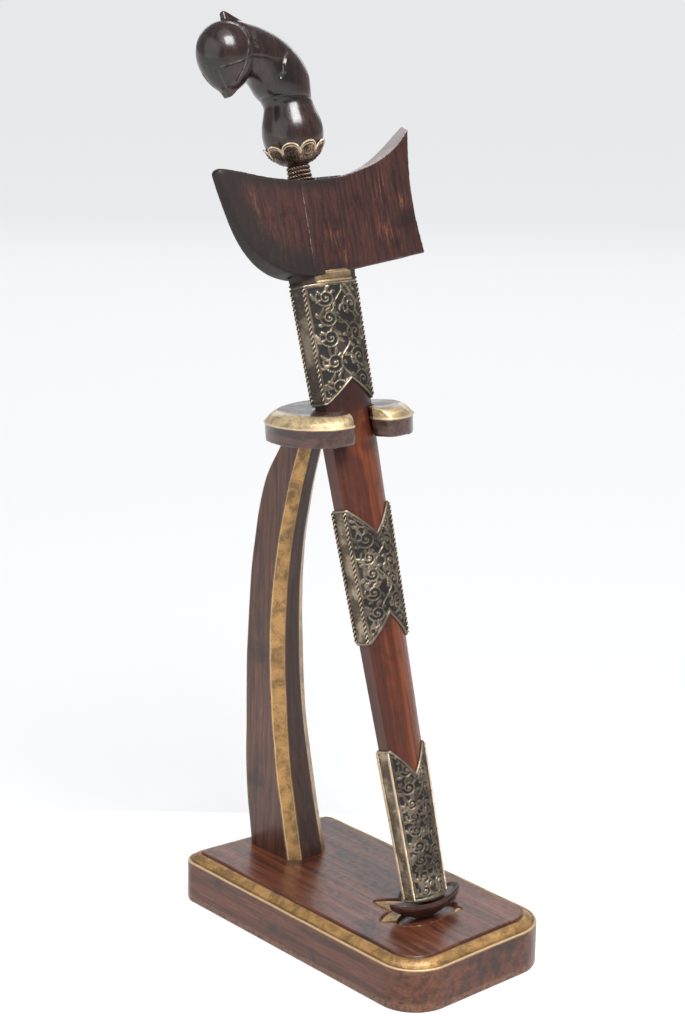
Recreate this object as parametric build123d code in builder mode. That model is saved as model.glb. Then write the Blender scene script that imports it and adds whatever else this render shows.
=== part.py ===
"""Keris dagger in its sheath, resting upright on a carved wooden display stand.

Millimetres, +Z up. The origin is the middle of the base board's underside.
X runs across the base, which is also the sheath's width; -Y is the front, where the toe
of the sheath stands; +Y is the back, where the post stands. The keris leans back by LEAN.
On the keris, u is measured along X, v along the sheath's axis from its foot, and n is the
distance in front of the sheath's middle plane.
"""
from build123d import *
import os
from math import atan, cos, degrees, pi, radians, sin, sqrt

os.makedirs("parts", exist_ok=True)

# ---------------------------------------------------------------- driving dimensions
BASE_WIDTH = 108.0
BASE_FRONT = -96.8
BASE_BACK = (102.4, 94.0)     # y of the back edge at the left and the right corner: cut a little askew
FRONT_CORNER = 23.6
BACK_CORNER = 11.0
SIDE_TOP = 24.8          # top of the base board's vertical side
PANEL_TOP = 29.3         # raised panel that the post and the toe stand on
PANEL_INSET = 8.4        # side of the board to side of the panel

POST_TOP = 287.6          # at the yoke's own origin, y = SEAT_Y
SEAT_Y = 6.7
YOKE_THICKNESS = 16.5
YOKE_BEVEL = 6.0
YOKE_BEVEL_INSET = 7.0
YOKE_TILT = 4.0            # the yoke's flat top falls this much towards the back

LEAN = 15.52             # keris axis from the vertical, towards the back
FOOT_Y = -51.1           # point v = 0 of the keris axis
FOOT_Z = 32.4

STEM_BOTTOM = 5.6
STEM_TOP = 354.0
STEM_HALF_WIDTH = (10.7, 18.0)      # at the bottom and the top
STEM_HALF_THICKNESS = (8.0, 10.5)
STEM_SIDE_FLAT = (3.6, 4.6)         # half height of the narrow flat side
SLEEVE_THICKNESS = 0.8

WRANGKA_TOP = 405.6      # wrangka: the boat-shaped mouth piece of the sheath
GUARD_HEIGHT = 7.6
BLADE_TIP = 52.0
TANG_U = -4.0            # the tang stands a little off the blade's middle
TANG_RADIUS = 2.6
RUNNING_FIT = 0.08       # radial, for what turns on the tang
GAP = 0.3                # between pieces that move past each other

# ---------------------------------------------------------------- the keris's own frame
axis_dir = Vector(0, sin(radians(LEAN)), cos(radians(LEAN)))
front_dir = Vector(0, -cos(radians(LEAN)), sin(radians(LEAN)))
foot = Vector(0, FOOT_Y, FOOT_Z)
across = Plane(origin=foot, x_dir=(1, 0, 0), z_dir=axis_dir)     # sections, x = u, y = -n
face_on = Plane(origin=foot, x_dir=(1, 0, 0), z_dir=front_dir)   # front view, x = u, y = v
edge_on = Plane(origin=foot, x_dir=front_dir, z_dir=(1, 0, 0))   # side view, x = n, y = -v


def keris_point(u, v, n=0.0):
    return foot + Vector(1, 0, 0) * u + axis_dir * v + front_dir * n


def finish(builder, name):
    builder.part.label = name
    export_step(builder.part, f"parts/{name}.step")


# ================================================================ stand
PETAL_CENTRE = (0.0, -45.0)
PETAL_TIPS = [(-27, -42), (30, -42), (-13, -21), (13, -21), (-15, -60), (19, -59)]
PETAL_DEPTH = 1.4
POCKET_CENTRE_Y = -51.3
POCKET_HALF_SIZE = (21.0, 9.0)
POCKET_FLOOR = 27.2
SCREW_Y = (58.0, 73.0)
SCREW_SHANK = 2.0
SCREW_HEAD = 4.2

def base_plan(inset):
    """The board's outline, drawn in by the inset."""
    half = BASE_WIDTH / 2
    with BuildSketch() as plan:
        with BuildLine():
            FilletPolyline((-half, BASE_FRONT), (half, BASE_FRONT), (half, BASE_BACK[1]), (-half, BASE_BACK[0]),
                           radius=(FRONT_CORNER, FRONT_CORNER, BACK_CORNER, BACK_CORNER), close=True)
        make_face()
        if inset:
            offset(amount=-inset)
    return plan.sketch


with BuildPart() as base_board:
    extrude(base_plan(0), amount=SIDE_TOP)
    # gilded moulding: a hollow in two facets between the side and the raised panel
    for low, rise, inset, run in ((SIDE_TOP, 0.8, 1.6, 3.4), (SIDE_TOP + 0.8, 2.3, 5.0, 3.0)):
        extrude(Pos(0, 0, low) * base_plan(inset), amount=rise, taper=degrees(atan(run / rise)))
    extrude(Pos(0, 0, SIDE_TOP) * base_plan(PANEL_INSET), amount=PANEL_TOP - SIDE_TOP)
    # carved lotus: six leaf-shaped recesses round the pocket for the toe
    for tip in PETAL_TIPS:
        along = Vector(tip[0] - PETAL_CENTRE[0], tip[1] - PETAL_CENTRE[1])
        side = Vector(-along.Y, along.X).normalized() * 7.5
        middle = Vector(*PETAL_CENTRE) + along * 0.55
        with BuildSketch(Plane.XY.offset(PANEL_TOP)):
            with BuildLine():
                ThreePointArc(PETAL_CENTRE, middle + side, tip)
                ThreePointArc(tip, middle - side, PETAL_CENTRE)
            make_face()
        extrude(amount=-PETAL_DEPTH, mode=Mode.SUBTRACT)
    with BuildSketch(Plane((0, POCKET_CENTRE_Y, POCKET_FLOOR))):
        Ellipse(*POCKET_HALF_SIZE)
    extrude(amount=PANEL_TOP - POCKET_FLOOR + 1, mode=Mode.SUBTRACT)
    # screws come up from below, their heads sunk in the underside
    with Locations(*[(0, y, 0) for y in SCREW_Y]):
        Cylinder(SCREW_SHANK + 0.05, PANEL_TOP, align=(Align.CENTER, Align.CENTER, Align.MIN),
                 mode=Mode.SUBTRACT)
        Cylinder(SCREW_HEAD + 0.3, 4.0, align=(Align.CENTER, Align.CENTER, Align.MIN),
                 mode=Mode.SUBTRACT)
finish(base_board, "base_board")

# post: bowed back, tapering upwards, with broad gilded chamfers on its front corners
#                height, half width, half of the front face, front y, back y
POST_SECTIONS = [(PANEL_TOP, 14.4, 7.7, 46.3, 85.1), (66.0, 13.9, 7.1, 55.1, 90.3),
                 (103.0, 13.1, 6.0, 61.9, 91.9), (140.0, 12.8, 5.3, 65.3, 91.9),
                 (177.0, 12.0, 4.8, 65.7, 90.7), (214.0, 10.6, 4.1, 62.0, 87.7),
                 (251.0, 9.7, 3.5, 54.0, 79.7)]
POST_HEAD = (9.2, 3.3, 36.4, 54.6)
CHAMFER_DEPTH = 5.4
DOWEL_Y = (41.0, 49.5)
DOWEL_RADIUS = 2.5
DOWEL_DEPTH = 9.0

yoke_seat = Plane(origin=(0, SEAT_Y, POST_TOP), x_dir=(1, 0, 0),
                  z_dir=(0, sin(radians(YOKE_TILT)), cos(radians(YOKE_TILT))))


def post_section(plane, half, face, front, back):
    with BuildSketch(plane) as section:
        with BuildLine():
            Polyline((-face, front), (face, front), (half, front + CHAMFER_DEPTH), (half, back),
                     (-half, back), (-half, front + CHAMFER_DEPTH), close=True)
        make_face()
    return section.sketch


with BuildPart() as post:
    sections = [post_section(Plane.XY.offset(height), *sizes) for height, *sizes in POST_SECTIONS]
    loft(sections + [post_section(yoke_seat, *POST_HEAD)])
    with Locations(*[(0, y, PANEL_TOP) for y in SCREW_Y]):
        Cylinder(SCREW_SHANK + 0.05, 24, align=(Align.CENTER, Align.CENTER, Align.MIN),
                 mode=Mode.SUBTRACT)
    for y in DOWEL_Y:
        with BuildSketch(yoke_seat):
            with Locations((0, y)):
                Circle(DOWEL_RADIUS)
        extrude(amount=-DOWEL_DEPTH, mode=Mode.SUBTRACT)
finish(post, "post")

with BuildPart() as post_screws:
    for y in SCREW_Y:
        with BuildSketch(Plane.XZ.offset(-y)):
            with BuildLine():
                Polyline((0, 1.0), (SCREW_HEAD, 1.0), (SCREW_SHANK, 4.0), (SCREW_SHANK, 46.0),
                         (0, 51.0), close=True)
            make_face()
        revolve(axis=Axis((0, y, 0), (0, 0, 1)))
finish(post_screws, "post_screws")

with BuildPart() as yoke_dowels:
    for y in DOWEL_Y:
        with BuildSketch(yoke_seat):
            with Locations((0, y)):
                Circle(DOWEL_RADIUS)
        extrude(amount=DOWEL_DEPTH - 0.5, both=True)
finish(yoke_dowels, "yoke_dowels")

# yoke: a fork with two rounded arms on top of the post; its front lips keep the sheath in
MOUTH_HALF_WIDTH = 9.4
MOUTH_FLARE = 14.5         # half width at the front
MOUTH_FRONT = -12.0
MOUTH_BACK = 12.0
YOKE_SLOT_GROW = 1.3       # slot larger than the bare stem, for the sleeve's back edge
YOKE_HALF_SIZE = (40.0, 32.0)
YOKE_MIDDLE_Y = 23.6
YOKE_RIGHT = [(0, -4.5), (9.5, -6.4), (18.5, -8.2), (26.5, -7.2), (34.0, -2.4), (38.9, 4.5),
              (38.6, 12.5), (33.0, 20.5), (25.0, 28.0), (20.0, 39.0), (13.0, 51.0), (0, 55.5)]
YOKE_LEFT = [(0, 55.5), (-13.0, 54.8), (-25.0, 50.5), (-34.0, 43.0), (-38.6, 33.0), (-40.2, 23.0),
             (-39.6, 14.0), (-37.0, 5.5), (-32.0, -2.0), (-25.5, -7.0), (-18.5, -8.2), (-9.5, -6.4),
             (0, -4.5)]


def yoke_plan(height, inset):
    """Plan of the whole yoke before its slot and mouth are cut; the left arm is the broader."""
    share_x = 1 - inset / YOKE_HALF_SIZE[0]
    share_y = 1 - inset / YOKE_HALF_SIZE[1]
    with BuildSketch(yoke_seat.offset(height)) as plan:
        with BuildLine():
            for outline in (YOKE_RIGHT, YOKE_LEFT):
                Spline(*[(x * share_x, YOKE_MIDDLE_Y + (y - YOKE_MIDDLE_Y) * share_y) for x, y in outline])
        make_face()
    return plan.sketch


# ================================================================ sheath
def blend(pair, v):
    share = (v - STEM_BOTTOM) / (STEM_TOP - STEM_BOTTOM)
    return pair[0] + (pair[1] - pair[0]) * share


def lens(v, grow=0.0):
    """Almond section of the stem at height v, its two ends cut to narrow flat sides."""
    half_width = blend(STEM_HALF_WIDTH, v) + grow
    half_thickness = blend(STEM_HALF_THICKNESS, v) + grow
    flat = blend(STEM_SIDE_FLAT, v) + grow * 0.4
    with BuildSketch(across.offset(v)) as section:
        with BuildLine():
            ThreePointArc((-half_width, flat), (0, half_thickness), (half_width, flat))
            Line((half_width, flat), (half_width, -flat))
            ThreePointArc((half_width, -flat), (0, -half_thickness), (-half_width, -flat))
            Line((-half_width, -flat), (-half_width, flat))
        make_face()
    return section.sketch


YOKE_LEVEL = (POST_TOP + YOKE_THICKNESS / 2 - FOOT_Z) / cos(radians(LEAN))

with BuildPart() as yoke:
    extrude(yoke_plan(0, 0), amount=YOKE_THICKNESS - YOKE_BEVEL)
    loft((yoke_plan(YOKE_THICKNESS - YOKE_BEVEL, 0), yoke_plan(YOKE_THICKNESS, YOKE_BEVEL_INSET)))
    # leaning slot with the stem's own section
    extrude(lens(YOKE_LEVEL, YOKE_SLOT_GROW), amount=45, both=True, mode=Mode.SUBTRACT)
    # mouth, flared towards the front
    with BuildSketch(yoke_seat):
        with BuildLine():
            Polyline((-MOUTH_HALF_WIDTH, MOUTH_BACK), (MOUTH_HALF_WIDTH, MOUTH_BACK), (MOUTH_HALF_WIDTH, 1.0),
                     (MOUTH_FLARE, MOUTH_FRONT), (-MOUTH_FLARE, MOUTH_FRONT), (-MOUTH_HALF_WIDTH, 1.0),
                     close=True)
        make_face()
    extrude(amount=YOKE_THICKNESS, mode=Mode.SUBTRACT)
    for y in DOWEL_Y:
        with BuildSketch(yoke_seat):
            with Locations((0, y)):
                Circle(DOWEL_RADIUS)
        extrude(amount=DOWEL_DEPTH, mode=Mode.SUBTRACT)
finish(yoke, "yoke")

STEM_ENDS = (lens(STEM_BOTTOM), lens(STEM_TOP + 8))

# the wrangka's front outline
with BuildSketch(face_on) as wrangka_outline:
    with BuildLine():
        Spline((-62.5, 411.6), (-57.0, 392.0), (-47.5, 370.5), (-31.0, 357.0), (-13.0, 352.2))
        Line((-13.0, 352.2), (20.0, 353.8))
        Line((20.0, 353.8), (70.5, 357.8))
        Spline((70.5, 357.8), (67.8, 392.0), (72.0, 426.0))
        Spline((72.0, 426.0), (45.0, 411.0), (14.0, WRANGKA_TOP), (-18.0, WRANGKA_TOP + 0.6),
               (-43.0, 410.2), (-60.0, 414.4))
        Line((-60.0, 414.4), (-62.5, 411.6))
    make_face()
WRANGKA_REACH = 14.0

TENON_BOTTOM = 346.0
TENON_TOP = 366.0
TENON_HALF_WIDTH = 14.6
TENON_HALF_THICKNESS = 6.6
GUARD_U = (-25.0, 22.0)
GUARD_HALF_THICKNESS = 3.6
BLADE_ROOT = WRANGKA_TOP - GUARD_HEIGHT

with BuildPart() as wrangka:
    extrude(wrangka_outline.sketch, amount=WRANGKA_REACH, both=True)
    # seen from above it is thickest at the middle and thins towards its pointed left end
    with BuildSketch(across.offset(340)):
        with BuildLine():
            Spline((-66, 2.5), (-45, 6.6), (-14, 11.4), (20, 10.4), (50, 9.4), (75, 8.6))
            Line((75, 8.6), (75, -8.6))
            Spline((75, -8.6), (50, -9.4), (20, -10.4), (-14, -11.4), (-45, -6.6), (-66, -2.5))
            Line((-66, -2.5), (-66, 2.5))
        make_face()
    extrude(amount=100, mode=Mode.INTERSECT)
    # recess for the guard, slot for the blade's root, socket for the stem's tenon
    for v, top, left, right, half in (
            (BLADE_ROOT - GAP, 30, GUARD_U[0] - GAP, GUARD_U[1] + GAP, GUARD_HALF_THICKNESS + GAP),
            (340, BLADE_ROOT - 340, -22.0, 20.0, 2.8),
            (340, TENON_TOP - 340, -TENON_HALF_WIDTH, TENON_HALF_WIDTH, TENON_HALF_THICKNESS)):
        with BuildSketch(across.offset(v)):
            with Locations(((left + right) / 2, 0)):
                Rectangle(right - left, 2 * half)
        extrude(amount=top, mode=Mode.SUBTRACT)
finish(wrangka, "wrangka")

# stem: two halves glued along the middle plane, hollowed for the blade
for half_name, kept in (("stem_front", Keep.TOP), ("stem_back", Keep.BOTTOM)):
    with BuildPart() as stem_half:
        loft(STEM_ENDS)
        extrude(wrangka_outline.sketch, amount=WRANGKA_REACH, both=True, mode=Mode.SUBTRACT)
        with BuildSketch(across.offset(TENON_BOTTOM)):
            Rectangle(2 * TENON_HALF_WIDTH, 2 * TENON_HALF_THICKNESS)
        extrude(amount=TENON_TOP - TENON_BOTTOM)
        for v, half_width, half in ((46, 7.0, 1.9), (TENON_TOP, 14.2, 2.8)):
            with BuildSketch(across.offset(v)):
                Rectangle(2 * half_width, 2 * half)
        loft(mode=Mode.SUBTRACT)
        with BuildSketch(across):
            Circle(2.5)
        extrude(amount=20, mode=Mode.SUBTRACT)
        split(bisect_by=face_on, keep=kept)
    finish(stem_half, half_name)


# sheet-metal mounts: each sleeve's ends are cut to a V on the front and the back
def notch(edge, apex):
    """What to cut from a sleeve's end between the line v = edge and a V up to v = apex."""
    half_width = blend(STEM_HALF_WIDTH, edge) - 0.6
    with BuildSketch(face_on) as cut:
        Polygon((-half_width, edge), (0, apex), (half_width, edge),
                (half_width, 2 * edge - apex), (-half_width, 2 * edge - apex), align=None)
    return cut.sketch


UPPER = (283.0, 344.5)
MIDDLE = (151.0, 226.0)
LOWER = (STEM_BOTTOM + 0.4, 92.0)
V_DEPTH = 15.0
UPPER_V_DEPTH = 12.5

with BuildPart() as upper_collar:
    loft((lens(UPPER[1], 1.5), lens(STEM_TOP + 5, 1.5)))
    loft(STEM_ENDS, mode=Mode.SUBTRACT)
    extrude(wrangka_outline.sketch, amount=WRANGKA_REACH, both=True, mode=Mode.SUBTRACT)
finish(upper_collar, "upper_collar")

with BuildPart() as upper_sleeve:
    loft((lens(UPPER[0], SLEEVE_THICKNESS), lens(UPPER[1], SLEEVE_THICKNESS)))
    loft(STEM_ENDS, mode=Mode.SUBTRACT)
    extrude(notch(UPPER[0], UPPER[0] + UPPER_V_DEPTH), amount=16, both=True, mode=Mode.SUBTRACT)
finish(upper_sleeve, "upper_sleeve")

with BuildPart() as middle_sleeve:
    loft((lens(MIDDLE[0], SLEEVE_THICKNESS), lens(MIDDLE[1], SLEEVE_THICKNESS)))
    loft(STEM_ENDS, mode=Mode.SUBTRACT)
    extrude(notch(MIDDLE[0], MIDDLE[0] + V_DEPTH), amount=16, both=True, mode=Mode.SUBTRACT)
    extrude(notch(MIDDLE[1], MIDDLE[1] - V_DEPTH), amount=16, both=True, mode=Mode.SUBTRACT)
finish(middle_sleeve, "middle_sleeve")

with BuildPart() as lower_sleeve:
    loft((lens(LOWER[0], SLEEVE_THICKNESS), lens(LOWER[1], SLEEVE_THICKNESS)))
    loft(STEM_ENDS, mode=Mode.SUBTRACT)
    extrude(notch(LOWER[1], LOWER[1] - V_DEPTH), amount=16, both=True, mode=Mode.SUBTRACT)
finish(lower_sleeve, "lower_sleeve")

# twisted-wire borders soldered along the corners between the faces and the narrow sides
WIRE_RADIUS = 0.6
for name, (low, high) in (("upper_border_wires", UPPER), ("middle_border_wires", MIDDLE),
                          ("lower_border_wires", LOWER)):
    with BuildPart() as border_wires:
        for side_u in (-1, 1):
            for side_n in (-1, 1):
                ends = []
                for v in (low + 1.5, high - 1.0):
                    u = blend(STEM_HALF_WIDTH, v) + SLEEVE_THICKNESS + WIRE_RADIUS * 0.75
                    n = blend(STEM_SIDE_FLAT, v) + SLEEVE_THICKNESS * 0.4 + WIRE_RADIUS * 0.9
                    ends.append(keris_point(side_u * u, v, side_n * n))
                run = ends[1] - ends[0]
                with BuildSketch(Plane(origin=ends[0], z_dir=run)):
                    Circle(WIRE_RADIUS)
                extrude(amount=run.length)
    finish(border_wires, name)

# toe: a crescent-shaped wooden foot, boat-like from every side
TOE_HALF_LENGTH = 24.5
TOE_TIP = 8.0
TOE_SADDLE = 4.6           # top of the toe at its middle
TOE_KEEL = -4.5
TOE_HALF_DEPTH = 10.0

with BuildPart() as toe:
    with BuildSketch(face_on):
        with BuildLine():
            ThreePointArc((-TOE_HALF_LENGTH, TOE_TIP), (0, TOE_SADDLE), (TOE_HALF_LENGTH, TOE_TIP))
            ThreePointArc((TOE_HALF_LENGTH, TOE_TIP), (0, TOE_KEEL), (-TOE_HALF_LENGTH, TOE_TIP))
        make_face()
    extrude(amount=TOE_HALF_DEPTH, both=True)
    with BuildSketch(across.offset(TOE_KEEL - 1)):
        with BuildLine():
            ThreePointArc((-TOE_HALF_LENGTH - 1, 0), (0, TOE_HALF_DEPTH), (TOE_HALF_LENGTH + 1, 0))
            ThreePointArc((TOE_HALF_LENGTH + 1, 0), (0, -TOE_HALF_DEPTH), (-TOE_HALF_LENGTH - 1, 0))
        make_face()
    extrude(amount=20, mode=Mode.INTERSECT)
    with BuildSketch(edge_on):
        with BuildLine():
            Line((-TOE_HALF_DEPTH, -12), (TOE_HALF_DEPTH, -12))
            Line((TOE_HALF_DEPTH, -12), (TOE_HALF_DEPTH, -3.5))
            ThreePointArc((TOE_HALF_DEPTH, -3.5), (0, -TOE_KEEL), (-TOE_HALF_DEPTH, -3.5))
            Line((-TOE_HALF_DEPTH, -3.5), (-TOE_HALF_DEPTH, -12))
        make_face()
    extrude(amount=30, both=True, mode=Mode.INTERSECT)
    with BuildSketch(across):
        Circle(2.5)
    extrude(amount=20, mode=Mode.SUBTRACT)
finish(toe, "toe")

with BuildPart() as toe_peg:
    with BuildSketch(across):
        Circle(2.5)
    extrude(amount=19.5)
finish(toe_peg, "toe_peg")

# ================================================================ blade, guard and tang
WAVES = 4.5
BLADE_POINTS = 40


def blade_edge(side):
    """One edge of the wavy blade, from the guard to the tip."""
    points = []
    for i in range(BLADE_POINTS):
        share = i / (BLADE_POINTS - 1)
        v = BLADE_ROOT + (BLADE_TIP - BLADE_ROOT) * share
        root_flare = 7.5 * max(0.0, 1 - share / 0.055) ** 1.6
        half = (10.0 - 5.2 * share) * sqrt(max(0.0, 1 - share ** 6)) + root_flare
        sway = 3.0 * (1 - 0.45 * share) * sin(2 * pi * WAVES * share)
        points.append((sway + side * half, v))
    return points


with BuildPart() as blade:
    right_edge = blade_edge(1)
    left_edge = blade_edge(-1)
    with BuildSketch(face_on):
        with BuildLine():
            Spline(*right_edge)
            Spline(*left_edge)
            Line(right_edge[0], left_edge[0])
        make_face()
    extrude(amount=2.2, both=True)
    # thinner towards the tip
    with BuildSketch(edge_on):
        with BuildLine():
            Polyline((-2.2, -BLADE_ROOT), (2.2, -BLADE_ROOT), (1.0, -BLADE_TIP + 1), (-1.0, -BLADE_TIP + 1),
                     close=True)
        make_face()
    extrude(amount=40, both=True, mode=Mode.INTERSECT)
finish(blade, "blade")

TANG_TOP = 441.0
with BuildPart() as guard:
    with BuildSketch(face_on):
        with BuildLine():
            Polyline((-18.5, BLADE_ROOT), (17.5, BLADE_ROOT), (GUARD_U[1], WRANGKA_TOP - 3),
                     (GUARD_U[1], WRANGKA_TOP), (GUARD_U[0] + 2, WRANGKA_TOP), (GUARD_U[0], WRANGKA_TOP - 4),
                     close=True)
        make_face()
    extrude(amount=GUARD_HALF_THICKNESS, both=True)
    with BuildSketch(across.offset(BLADE_ROOT)):
        with Locations((TANG_U, 0)):
            Circle(TANG_RADIUS + 0.02)
    extrude(amount=20, mode=Mode.SUBTRACT)
finish(guard, "guard")

with BuildPart() as tang:
    with BuildSketch(across.offset(BLADE_ROOT)):
        with Locations((TANG_U, 0)):
            Circle(TANG_RADIUS)
    extrude(amount=TANG_TOP - BLADE_ROOT)
finish(tang, "tang")

WRAP_RADIUS = 4.0
WRAP_BOTTOM = 417.0
with BuildPart() as tang_wrap:
    with BuildSketch(across.offset(WRAP_BOTTOM)):
        with Locations((TANG_U, 0)):
            Circle(WRAP_RADIUS)
            Circle(TANG_RADIUS, mode=Mode.SUBTRACT)
    extrude(amount=TANG_TOP - 2 - WRAP_BOTTOM)
finish(tang_wrap, "tang_wrap")

# ================================================================ ferrule
tang_axis = Axis(keris_point(TANG_U, 0), axis_dir)
HILT_FOOT = [(8.2, 414.8), (11.9, 418.0), (15.2, 424.0), (16.2, 430.0)]
CUP_THICKNESS = 0.8
NECK_BOTTOM = WRANGKA_TOP + 0.5
NECK_TOP = 413.0
NECK_RADIUS = 4.6
PETALS = 9


def beside_tang(radius, v):
    return (TANG_U + radius, v)


BORE = TANG_RADIUS + RUNNING_FIT
CUP_FLOOR = NECK_TOP + 1.2

with BuildPart() as ferrule_cup:
    inner = [beside_tang(radius + GAP, v - 0.1) for radius, v in HILT_FOOT[:3]]
    outer = [beside_tang(radius + GAP + CUP_THICKNESS, v - 0.4) for radius, v in HILT_FOOT[:3]]
    with BuildSketch(face_on):
        with BuildLine():
            Polyline(inner[0], beside_tang(inner[0][0] - TANG_U, CUP_FLOOR), beside_tang(BORE, CUP_FLOOR),
                     beside_tang(BORE, NECK_TOP), beside_tang(NECK_RADIUS, NECK_TOP), outer[0])
            Spline(*outer)
            Line(outer[-1], inner[-1])
            Spline(*inner[::-1])
        make_face()
    revolve(axis=tang_axis)
finish(ferrule_cup, "ferrule_cup")

with BuildPart() as ferrule_neck:
    with BuildSketch(across.offset(NECK_BOTTOM)):
        with Locations((TANG_U, 0)):
            Circle(NECK_RADIUS)
            Circle(TANG_RADIUS + RUNNING_FIT, mode=Mode.SUBTRACT)
    extrude(amount=NECK_TOP - NECK_BOTTOM)
finish(ferrule_neck, "ferrule_neck")

RING_WIRE = 0.9
with BuildPart() as neck_rings:
    for v in (407.2, 409.5, 411.8):
        with Locations(Plane(origin=keris_point(TANG_U, v), z_dir=axis_dir)):
            Torus(NECK_RADIUS + RING_WIRE + 0.02, RING_WIRE)
finish(neck_rings, "neck_rings")

# petals: nine round plates round the rim, each with a twisted-wire arch and a rosette
PETAL_RADIUS = 4.8
PETAL_V = 420.2
PETAL_OUT = 15.05
PETAL_TILT = 34.0


def petal_planes(out):
    planes = []
    for k in range(PETALS):
        turn = 2 * pi * k / PETALS
        radial = Vector(1, 0, 0) * cos(turn) + front_dir * sin(turn)
        outward = radial * cos(radians(PETAL_TILT)) - axis_dir * sin(radians(PETAL_TILT))
        centre = keris_point(TANG_U, PETAL_V) + radial * PETAL_OUT + outward * out
        planes.append(Plane(origin=centre, x_dir=axis_dir.cross(radial), z_dir=outward))
    return planes


with BuildPart() as petal_plates:
    for plane in petal_planes(0.0):
        with BuildSketch(plane):
            Circle(PETAL_RADIUS)
        extrude(amount=0.6)
finish(petal_plates, "petal_plates")

with BuildPart() as petal_wires:
    for plane in petal_planes(0.6 + 0.45):
        with Locations(plane):
            Torus(PETAL_RADIUS - 0.45, 0.45)
finish(petal_wires, "petal_wires")

with BuildPart() as petal_rosettes:
    for plane in petal_planes(0.6):
        with BuildSketch(plane):
            Circle(1.7)
        extrude(amount=0.8, taper=25)
finish(petal_rosettes, "petal_rosettes")

# ================================================================ hilt
#              u, v, radius, tilt of the section towards the left (degrees)
TORSO = [(-4.0, 442.0, 12.4, 0.0), (-6.0, 455.0, 15.2, 12.0), (-11.5, 465.0, 15.3, 36.0),
         (-22.0, 472.0, 13.8, 66.0), (-33.0, 474.0, 12.8, 84.0)]
HEAD = (-40.0, 474.0, 15.4)

with BuildPart() as hilt:
    with BuildSketch(face_on):
        with BuildLine():
            Polyline(beside_tang(13.0, 445.0), beside_tang(0, 445.0), beside_tang(0, HILT_FOOT[0][1]),
                     beside_tang(*HILT_FOOT[0]))
            Spline(*[beside_tang(radius, v) for radius, v in HILT_FOOT + [(15.4, 437.0), (13.0, 445.0)]])
        make_face()
    revolve(axis=tang_axis)
    for u, v, radius, tilt in TORSO:
        normal = axis_dir * cos(radians(tilt)) - Vector(1, 0, 0) * sin(radians(tilt))
        with BuildSketch(Plane(origin=keris_point(u, v), x_dir=front_dir, z_dir=normal)):
            Circle(radius)
    loft()
    with Locations(Plane(origin=keris_point(*HEAD[:2]), x_dir=front_dir, z_dir=(1, 0, 0))):
        Sphere(HEAD[2])
    # crest on the crown and the short beak under the head
    with BuildSketch(face_on):
        with BuildLine():
            Polyline((-39.0, 497.0), (-36.0, 482.0), (-14.0, 480.0), (-20.0, 487.5), close=True)
        make_face()
        with BuildLine():
            Polyline((-49.0, 464.0), (-46.5, 453.0), (-38.0, 457.5), (-33.0, 464.0), close=True)
        make_face()
    extrude(amount=3.0, both=True)
    with BuildSketch(across.offset(410)):
        with Locations((TANG_U, 0)):
            Circle(WRAP_RADIUS + RUNNING_FIT)
    extrude(amount=TANG_TOP + 0.5 - 410, mode=Mode.SUBTRACT)
finish(hilt, "hilt")
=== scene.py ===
"""Keris in its sheath on a carved display stand: the looks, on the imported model's frame."""
from math import cos, pi, radians, sin

import bmesh
import bpy
import numpy as np
from mathutils import Matrix, Vector


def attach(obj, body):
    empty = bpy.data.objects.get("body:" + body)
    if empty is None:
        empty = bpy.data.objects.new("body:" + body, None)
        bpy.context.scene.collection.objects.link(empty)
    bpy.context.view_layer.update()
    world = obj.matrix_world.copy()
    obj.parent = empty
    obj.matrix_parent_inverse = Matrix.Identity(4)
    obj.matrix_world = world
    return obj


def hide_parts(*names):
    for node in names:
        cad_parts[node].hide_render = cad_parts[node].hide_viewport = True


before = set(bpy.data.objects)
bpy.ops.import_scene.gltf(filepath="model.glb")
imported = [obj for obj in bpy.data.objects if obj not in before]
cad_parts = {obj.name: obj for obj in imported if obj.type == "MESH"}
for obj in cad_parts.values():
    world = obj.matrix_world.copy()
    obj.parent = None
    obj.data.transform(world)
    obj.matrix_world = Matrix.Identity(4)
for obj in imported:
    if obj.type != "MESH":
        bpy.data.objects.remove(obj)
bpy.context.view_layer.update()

# ---- the keris's own frame, in mm
LEAN = radians(15.52)
FOOT = np.array([0.0, -51.1, 32.4])
AXIS = np.array([0.0, sin(LEAN), cos(LEAN)])
FRONT = np.array([0.0, -cos(LEAN), sin(LEAN)])


def keris(u, v, n):
    """Points in mm in the row frame, from widths, heights along the axis and distances in front."""
    u, v, n = np.broadcast_arrays(u, v, n)
    return FOOT + u[..., None] * np.array([1.0, 0, 0]) + v[..., None] * AXIS + n[..., None] * FRONT


def from_row(points):
    """u, v and n of points in mm."""
    rel = points - FOOT
    return rel[..., 0], rel @ AXIS, rel @ FRONT


# ---- camera
PICTURE = (685, 1024)
SENSOR_HEIGHT = 36.0
CAMERA_AT = np.array([-775.0, -847.0, 566.4])  # mm
CAMERA_TURN, CAMERA_RISE, CAMERA_ROLL = -0.72723, 0.27024, 0.0136  # radians
FOCAL_PX = 2190.8

to_camera = np.array([sin(CAMERA_TURN) * cos(CAMERA_RISE), -cos(CAMERA_TURN) * cos(CAMERA_RISE),
                      sin(CAMERA_RISE)])
level = np.cross([0, 0, 1], to_camera)
level /= np.linalg.norm(level)
upright = np.cross(to_camera, level)
cam_right = cos(CAMERA_ROLL) * level + sin(CAMERA_ROLL) * upright
cam_up = -sin(CAMERA_ROLL) * level + cos(CAMERA_ROLL) * upright

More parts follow.
